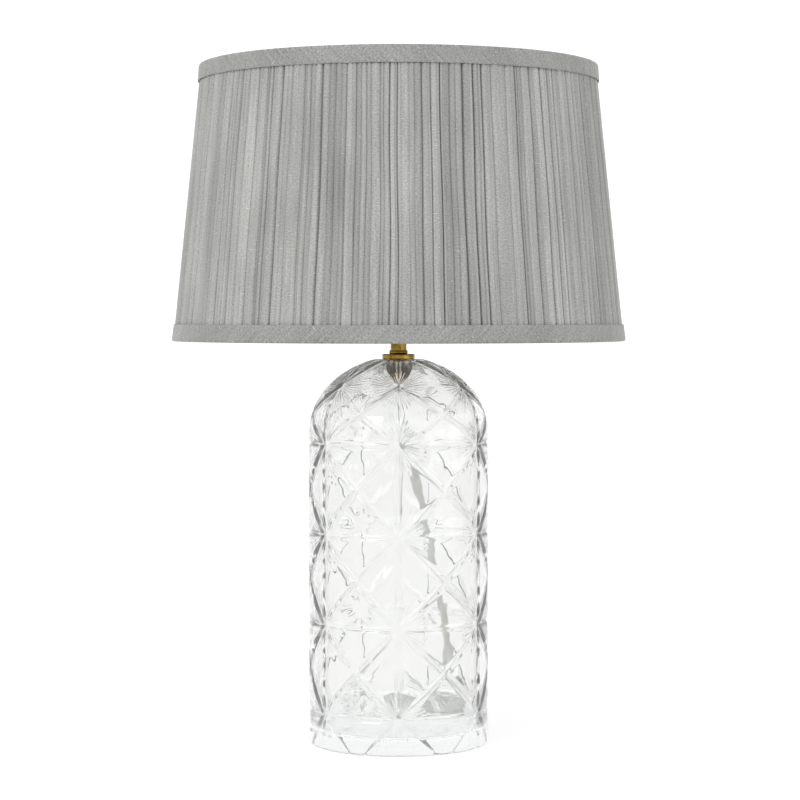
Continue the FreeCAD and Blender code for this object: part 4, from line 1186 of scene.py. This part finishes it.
@dataclass
class DrumShade:
    """Gathered silk cover with bound edges and a plain lining."""

    bottom: float = 357.0 * MM
    height: float = 242.5 * MM
    bottom_radius: float = 200.0 * MM
    top_radius: float = 175.0 * MM
    binding_height: float = 15.0 * MM
    pleats: int = 248
    pleat_steps: int = 10
    pleat_depth: float = 2.9 * MM
    valley_jitter: float = 0.62                               # in pleats
    shallow_valleys: tuple[float, float] = (0.2, 0.55)        # share of pleat_depth
    deep_valleys: tuple[float, float] = (0.5, 1.0)
    crests: tuple[float, float] = (0.36, 0.64)                # place of the crest in its pleat
    breathing: float = 0.15                                   # share of a valley's depth
    painted_shading_group: int = 5                                       # pleats whose painted light and shade go together
    painted_shading_shares: tuple[float, float] = (0.6, 0.4)             # of a pleat's own painted light and shade, and its group's
    cover_rows: int = 15
    cover_inset: float = 1.0 * MM
    cover_margin: float = 3.0 * MM
    cover_thick: float = 0.35 * MM
    cover_flat: tuple[float, float] = (1.86, 0.25)
    band_steps: int = 720
    lining_rows: int = 12
    lining_steps: int = 360
    lining_inset: float = 8.0 * MM
    lining_margin: float = 1.2 * MM
    lining_thick: float = 0.4 * MM
    lining_flat: tuple[float, float] = (FULL_TURN * 0.1795, 0.241)

    def radius_at(self, height: float) -> float:
        """Outer radius of the shade at a height."""
        share = (height - self.bottom) / self.height
        return self.bottom_radius + (self.top_radius - self.bottom_radius) * share

    def valley(self, number: int) -> float:
        """Azimuth of the bottom between two pleats, unevenly spaced.

        Args:
            number: Number of the pleat that starts there.

        Returns:
            The azimuth in radians.
        """
        number %= self.pleats
        turn = FULL_TURN * number / self.pleats
        warp = 0.35 * math.sin(7 * turn + 1.3) + 0.3 * math.sin(31 * turn + 2.2)
        jitter = self.valley_jitter * (uneven(number * 0.61) - 0.5)
        return (number + warp + jitter) * FULL_TURN / self.pleats

    def valley_depth(self, number: int) -> float:
        """Depth of the bottom between two pleats; every second one is deep.

        Args:
            number: Number of the pleat that starts there.

        Returns:
            The share of pleat_depth.
        """
        number %= self.pleats
        low, high = self.shallow_valleys if number % 2 else self.deep_valleys
        return low + (high - low) * uneven(number * 1.31)

    def drift(self, azimuth: float, height: float) -> float:
        """How far the pleats lean sideways at a height, as an angle."""
        sway = 0.0045 * math.sin(5 * azimuth + 9 * height) + 0.0026 * math.sin(23 * azimuth + 31 * height)
        return sway * math.sin(math.pi * (height - self.bottom) / self.height)

    def fold(self, number: int, share: float, height: float) -> float:
        """Height of the cloth in a pleat.

        Args:
            number: Number of the pleat.
            share: Place across it, from 0 to 1.
            height: Height above the table.

        Returns:
            The height, from 0 at the deepest bottom to 1 at the crest.
        """
        first, last = self.crests
        crest = first + (last - first) * uneven(number * 0.37)
        skewed = share / (2 * crest) if share < crest else 0.5 + (share - crest) / (2 * (1 - crest))
        depths = [self.valley_depth(side) for side in (number, number + 1)]
        full = depths[0] + (depths[1] - depths[0]) * share
        rounded = math.sin(math.pi * skewed) ** (0.3 + 0.75 * full)
        wander = math.sin(17 * height + number * 1.9) * math.sin(math.pi * share)
        breathing = 1 - self.breathing + self.breathing * wander
        return 1 - full * breathing * (1 - rounded)

    def tone(self, number: int) -> float:
        """Painted light and shade of a pleat, from 0, dark, to 1, light, as if each pleat faced the light at
        its own angle.
        """
        own, shared = self.painted_shading_shares
        return own * uneven(number * 2.17) + shared * uneven((number // self.painted_shading_group) * 3.71)

    def cover(self, shelf: FinishShelf) -> bpy.types.Object:
        """Makes the gathered cover.

        Args:
            shelf: The finishes.

        Returns:
            The piece.
        """
        low = self.bottom + self.cover_margin
        high = self.bottom + self.height - self.cover_margin
        profile = []
        for row in range(self.cover_rows):
            height = low + (high - low) * row / (self.cover_rows - 1)
            profile.append((self.radius_at(height), height, height))
        bm = spun(profile, self.pleats * self.pleat_steps, closed=False)
        face_out(bm)
        mark = bm.verts.layers.float["mark"]
        # The layer "fold" also sets the painted shade at the bottom of each fold, in the cloth's colour.
        folds = bm.verts.layers.float.new("fold")
        # The layer "tone" holds the painted light and shade of each pleat.
        painted_shadings = bm.verts.layers.float.new("tone")
        ring_uv(bm, self.cover_flat[0], "mark")
        steps = self.pleats * self.pleat_steps
        for vertex in bm.verts:
            turn = math.atan2(vertex.co.y, vertex.co.x) / FULL_TURN
            number, step = divmod(round(turn * steps) % steps, self.pleat_steps)
            share = step / self.pleat_steps
            start, end = self.valley(number), self.valley(number + 1)
            if end < start:
                end += FULL_TURN
            height = vertex[mark]
            crest = self.fold(number, share, height)
            vertex[folds] = crest
            vertex[painted_shadings] = self.tone(number)
            azimuth = start + (end - start) * share
            azimuth += self.drift(azimuth, height)
            radius = self.radius_at(height) - self.cover_inset - self.pleat_depth * (1 - crest)
            vertex.co = (radius * math.cos(azimuth), radius * math.sin(azimuth), height)
        piece = new_object("gathered_cover", bm)
        wall = piece.modifiers.new("cloth", "SOLIDIFY")
        wall.thickness = self.cover_thick
        wall.offset = -1
        return settle(piece, Body.SHADE, "shade_cloth", shelf.get(SHADE_SILK), "pleated_cover")

    def band(self, edge: Edge, shelf: FinishShelf) -> bpy.types.Object:
        """Makes the binding of one edge, folded over the frame.

        Args:
            edge: Which edge it binds.
            shelf: The finishes.

        Returns:
            The piece.
        """
        section = [  # inset from the shade's face and rise from its edge, in mm
            (0.5, 15.0), (0.1, 14.8), (-0.15, 14.0), (-0.2, 11.0), (-0.3, 7.0), (-0.45, 3.5), (-0.4, 1.6),
            (0.1, 0.5), (1.0, 0.05), (2.4, 0.0), (5.0, 0.12), (7.6, 0.0), (8.9, 0.15), (9.5, 0.7), (9.7, 1.8),
            (9.65, 6.0), (9.6, 10.5), (9.3, 11.0), (8.8, 10.7), (8.75, 6.0), (8.7, 1.9), (8.2, 1.0),
            (5.0, 0.95), (1.9, 0.95), (1.05, 1.6), (0.75, 4.0), (0.7, 8.0), (0.75, 14.4),
        ]
        up = 1 if edge is Edge.BOTTOM else -1
        start = self.bottom if edge is Edge.BOTTOM else self.bottom + self.height
        profile = []
        for inset, rise in section:
            height = start + up * rise * MM
            profile.append((self.radius_at(height) - inset * MM, height, rise * MM + inset * MM))
        bm = spun(profile, self.band_steps, closed=True)
        ring_uv(bm, FULL_TURN * self.radius_at(start), "mark")
        lump = 3.3 if edge is Edge.TOP else 8.1
        for vertex in bm.verts:
            azimuth = math.atan2(vertex.co.y, vertex.co.x)
            radius = vertex.co.to_2d().length
            wave = 0.16 * math.sin(61 * azimuth + lump) + 0.12 * math.sin(137 * azimuth + 2 * lump)
            wave += 0.2 * math.sin(9 * azimuth + lump)
            if abs(vertex.co.z - start) > 10 * MM:
                vertex.co.z += 0.12 * MM * math.sin(31 * azimuth + lump)
            vertex.co.xy *= (radius + wave * MM) / radius
        piece = new_object(f"{edge.value}_band", bm)
        return settle(piece, Body.SHADE, "binding_cloth", shelf.get(BIAS_SILK), f"{edge.value}_binding")

    def lining(self, shelf: FinishShelf) -> bpy.types.Object:
        """Makes the stretched lining.

        Args:
            shelf: The finishes.

        Returns:
            The piece.
        """
        low = self.bottom + self.lining_margin
        high = self.bottom + self.height - self.lining_margin
        profile = []
        for row in range(self.lining_rows + 1):
            height = low + (high - low) * row / self.lining_rows
            profile.append((self.radius_at(height) - self.lining_inset, height, height))
        bm = spun(profile, self.lining_steps, closed=False)
        face_out(bm)
        ring_uv(bm, self.lining_flat[0], "mark")
        piece = new_object("cotton_lining", bm)
        wall = piece.modifiers.new("cloth", "SOLIDIFY")
        wall.thickness = self.lining_thick
        wall.offset = 0
        return settle(piece, Body.SHADE, "lining_cloth", shelf.get(LINING), "shade_lining")

    def build(self, shelf: FinishShelf) -> None:
        """Args:
            shelf: The finishes.
        """
        cover = self.cover(shelf)
        bands = [self.band(edge, shelf) for edge in Edge]
        lining = self.lining(shelf)


# ------------------------------------------------------------------ studio


@dataclass(frozen=True)
class SoftLamp:
    """A square area lamp."""

    name: str
    place: tuple[float, float, float]
    size: float
    power: float


@dataclass
class Studio:
    """Camera, pale floor, soft lamps and the white surroundings."""

    image_width: float = 800.0
    focal_pixels: float = 2330.0
    sensor: float = 36.0
    camera_place: tuple[float, float, float] = (0.0013, -2.069, 0.3818)
    pitch_down: float = math.radians(2.14)
    view_depth: tuple[float, float] = (0.05, 50.0)
    floor_half: float = 6.0
    floor_level: float = 0.8                    # its colour under light that bounces
    floor_seen: tuple[float, float] = (0.3, 0.79)  # its colour and glow where it is looked at
    stripes: int = 8                            # pale and grey stripes round the horizon
    stripe_edge: tuple[float, float] = (-1.0, 0.2)
    stripe_levels: tuple[float, float] = (0.86, 1.15)
    overhead: tuple[float, float] = (0.76, 0.92)   # sine of the height where it darkens
    overhead_levels: tuple[float, float] = (1.0, 0.38)
    plain_level: float = 0.72                   # of the light that falls on the lamp
    lamp_aim: tuple[float, float, float] = (0.0, 0.0, 0.35)
    soft_lamps: tuple[SoftLamp, ...] = (
        SoftLamp("key", (-1.6, -2.2, 1.9), 1.6, 26.0),
        SoftLamp("fill", (2.2, -1.2, 0.9), 1.8, 9.0),
    )

    def camera(self) -> None:
        """Sets the camera at the photograph's viewing angle."""
        data = bpy.data.cameras.new("camera")
        data.sensor_width = self.sensor
        data.lens = self.focal_pixels / self.image_width * self.sensor
        data.clip_start, data.clip_end = self.view_depth
        camera = bpy.data.objects.new("camera", data)
        camera.location = self.camera_place
        camera.rotation_euler = (math.pi / 2 - self.pitch_down, 0, 0)
        bpy.context.collection.objects.link(camera)
        bpy.context.scene.camera = camera

    def floor(self) -> None:
        """Lays a pale floor that reads white and keeps a faint shadow."""
        bm = bmesh.new()
        bmesh.ops.create_grid(bm, x_segments=4, y_segments=4, size=self.floor_half)
        floor = new_object("floor", bm, smooth=False)
        material = bpy.data.materials.new("pale_floor")
        material.use_nodes = True
        tree = material.node_tree
        tree.nodes.remove(tree.nodes["Principled BSDF"])
        diffuse = tree.nodes.new("ShaderNodeBsdfDiffuse")
        diffuse.inputs["Color"].default_value = (*grey(self.floor_level), 1)
        soft = tree.nodes.new("ShaderNodeBsdfDiffuse")
        soft.inputs["Color"].default_value = (*grey(self.floor_seen[0]), 1)
        glow = tree.nodes.new("ShaderNodeEmission")
        glow.inputs["Strength"].default_value = self.floor_seen[1]
        both = tree.nodes.new("ShaderNodeAddShader")
        mixed = tree.nodes.new("ShaderNodeMixShader")
        tree.links.new(soft.outputs[0], both.inputs[0])
        tree.links.new(glow.outputs[0], both.inputs[1])
        tree.links.new(self.seen(tree), mixed.inputs[0])
        tree.links.new(diffuse.outputs[0], mixed.inputs[1])
        tree.links.new(both.outputs[0], mixed.inputs[2])
        tree.links.new(mixed.outputs[0], tree.nodes["Material Output"].inputs["Surface"])
        floor.data.materials.append(material)

    def seen(self, tree: bpy.types.NodeTree) -> bpy.types.NodeSocket:
        """Value of 1 for camera, glossy and transmission rays.

        Args:
            tree: Node tree that gets the nodes.

        Returns:
            The socket with the value.
        """
        path = tree.nodes.new("ShaderNodeLightPath")
        total = path.outputs["Is Camera Ray"]
        for name in ("Is Glossy Ray", "Is Transmission Ray"):
            step = tree.nodes.new("ShaderNodeMath")
            step.operation = "MAXIMUM"
            tree.links.new(total, step.inputs[0])
            tree.links.new(path.outputs[name], step.inputs[1])
            total = step.outputs[0]
        return total

    def surroundings(self) -> None:
        """White for the camera; glass and metal also see soft grey flags between white panels."""
        world = bpy.data.worlds.new("studio")
        bpy.context.scene.world = world
        world.use_nodes = True
        tree = world.node_tree
        tree.nodes.clear()
        output = tree.nodes.new("ShaderNodeOutputWorld")
        path = tree.nodes.new("ShaderNodeLightPath")

        def step(operation: str, first: object, second: object = 0.0) -> bpy.types.NodeSocket:
            """One step of arithmetic in the world's nodes.

            Args:
                operation: Operation of the Math node.
                first: The first value, a socket or plain.
                second: The second value, a socket or plain.

            Returns:
                The socket with the result.
            """
            made = tree.nodes.new("ShaderNodeMath")
            made.operation = operation
            for socket, value in ((made.inputs[0], first), (made.inputs[1], second)):
                if isinstance(value, bpy.types.NodeSocket):
                    tree.links.new(value, socket)
                else:
                    socket.default_value = value
            return made.outputs[0]

        def ranged(value: bpy.types.NodeSocket, span: tuple[float, float],
                   levels: tuple[float, float]) -> bpy.types.NodeSocket:
            """Smooth map of one range of values to another.

            Args:
                value: The value.
                span: Its range.
                levels: Results at both ends.

            Returns:
                The socket with the result.
            """
            made = tree.nodes.new("ShaderNodeMapRange")
            made.interpolation_type = "SMOOTHSTEP"
            for index, number in zip(MAP_RANGE_INPUTS, (*span, *levels)):
                made.inputs[index].default_value = number
            tree.links.new(value, made.inputs[0])
            return made.outputs[0]

        place = tree.nodes.new("ShaderNodeTexCoord")
        split = tree.nodes.new("ShaderNodeSeparateXYZ")
        tree.links.new(place.outputs["Generated"], split.inputs[0])
        azimuth = step("ARCTAN2", split.outputs["Y"], split.outputs["X"])
        stripes = step("COSINE", step("MULTIPLY", azimuth, float(self.stripes)))
        stripes = ranged(stripes, self.stripe_edge, self.stripe_levels)
        upward = ranged(split.outputs["Z"], self.overhead, self.overhead_levels)
        panels = step("MULTIPLY", stripes, upward)
        level = tree.nodes.new("ShaderNodeMix")
        factor, plain, striped = MIX_VALUE_INPUTS
        level.inputs[plain].default_value = self.plain_level
        tree.links.new(self.seen(tree), level.inputs[factor])
        tree.links.new(panels, level.inputs[striped])
        strength = step("MAXIMUM", level.outputs[0], path.outputs["Is Camera Ray"])
        background = tree.nodes.new("ShaderNodeBackground")
        background.inputs["Color"].default_value = (1, 1, 1, 1)
        tree.links.new(strength, background.inputs["Strength"])
        tree.links.new(background.outputs[0], output.inputs["Surface"])

    def lamps(self) -> None:
        """Two broad soft lamps, one high at the front left and one at the right."""
        for soft_lamp in self.soft_lamps:
            data = bpy.data.lights.new(soft_lamp.name, "AREA")
            data.size = soft_lamp.size
            data.energy = soft_lamp.power
            lamp = bpy.data.objects.new(soft_lamp.name, data)
            lamp.location = soft_lamp.place
            aim = Vector(self.lamp_aim) - Vector(soft_lamp.place)
            lamp.rotation_euler = aim.to_track_quat("-Z", "Y").to_euler()
            bpy.context.collection.objects.link(lamp)

    def build(self) -> None:
        """Sets up the whole studio."""
        self.camera()
        self.floor()
        self.surroundings()
        self.lamps()
        bpy.context.scene.view_settings.view_transform = "Standard"


def main() -> None:
    """Builds the studio and every sub-assembly."""
    logging.basicConfig(level=logging.INFO, format="%(message)s")
    shelf = FinishShelf()
    Studio().build()
    Flex().build(shelf)
    GlassBottle().build(shelf)
    BeadedCollar().build(shelf)
    DrumShade().build(shelf)
    shelf.dress_cad()


if __name__ == "__main__":
    main()
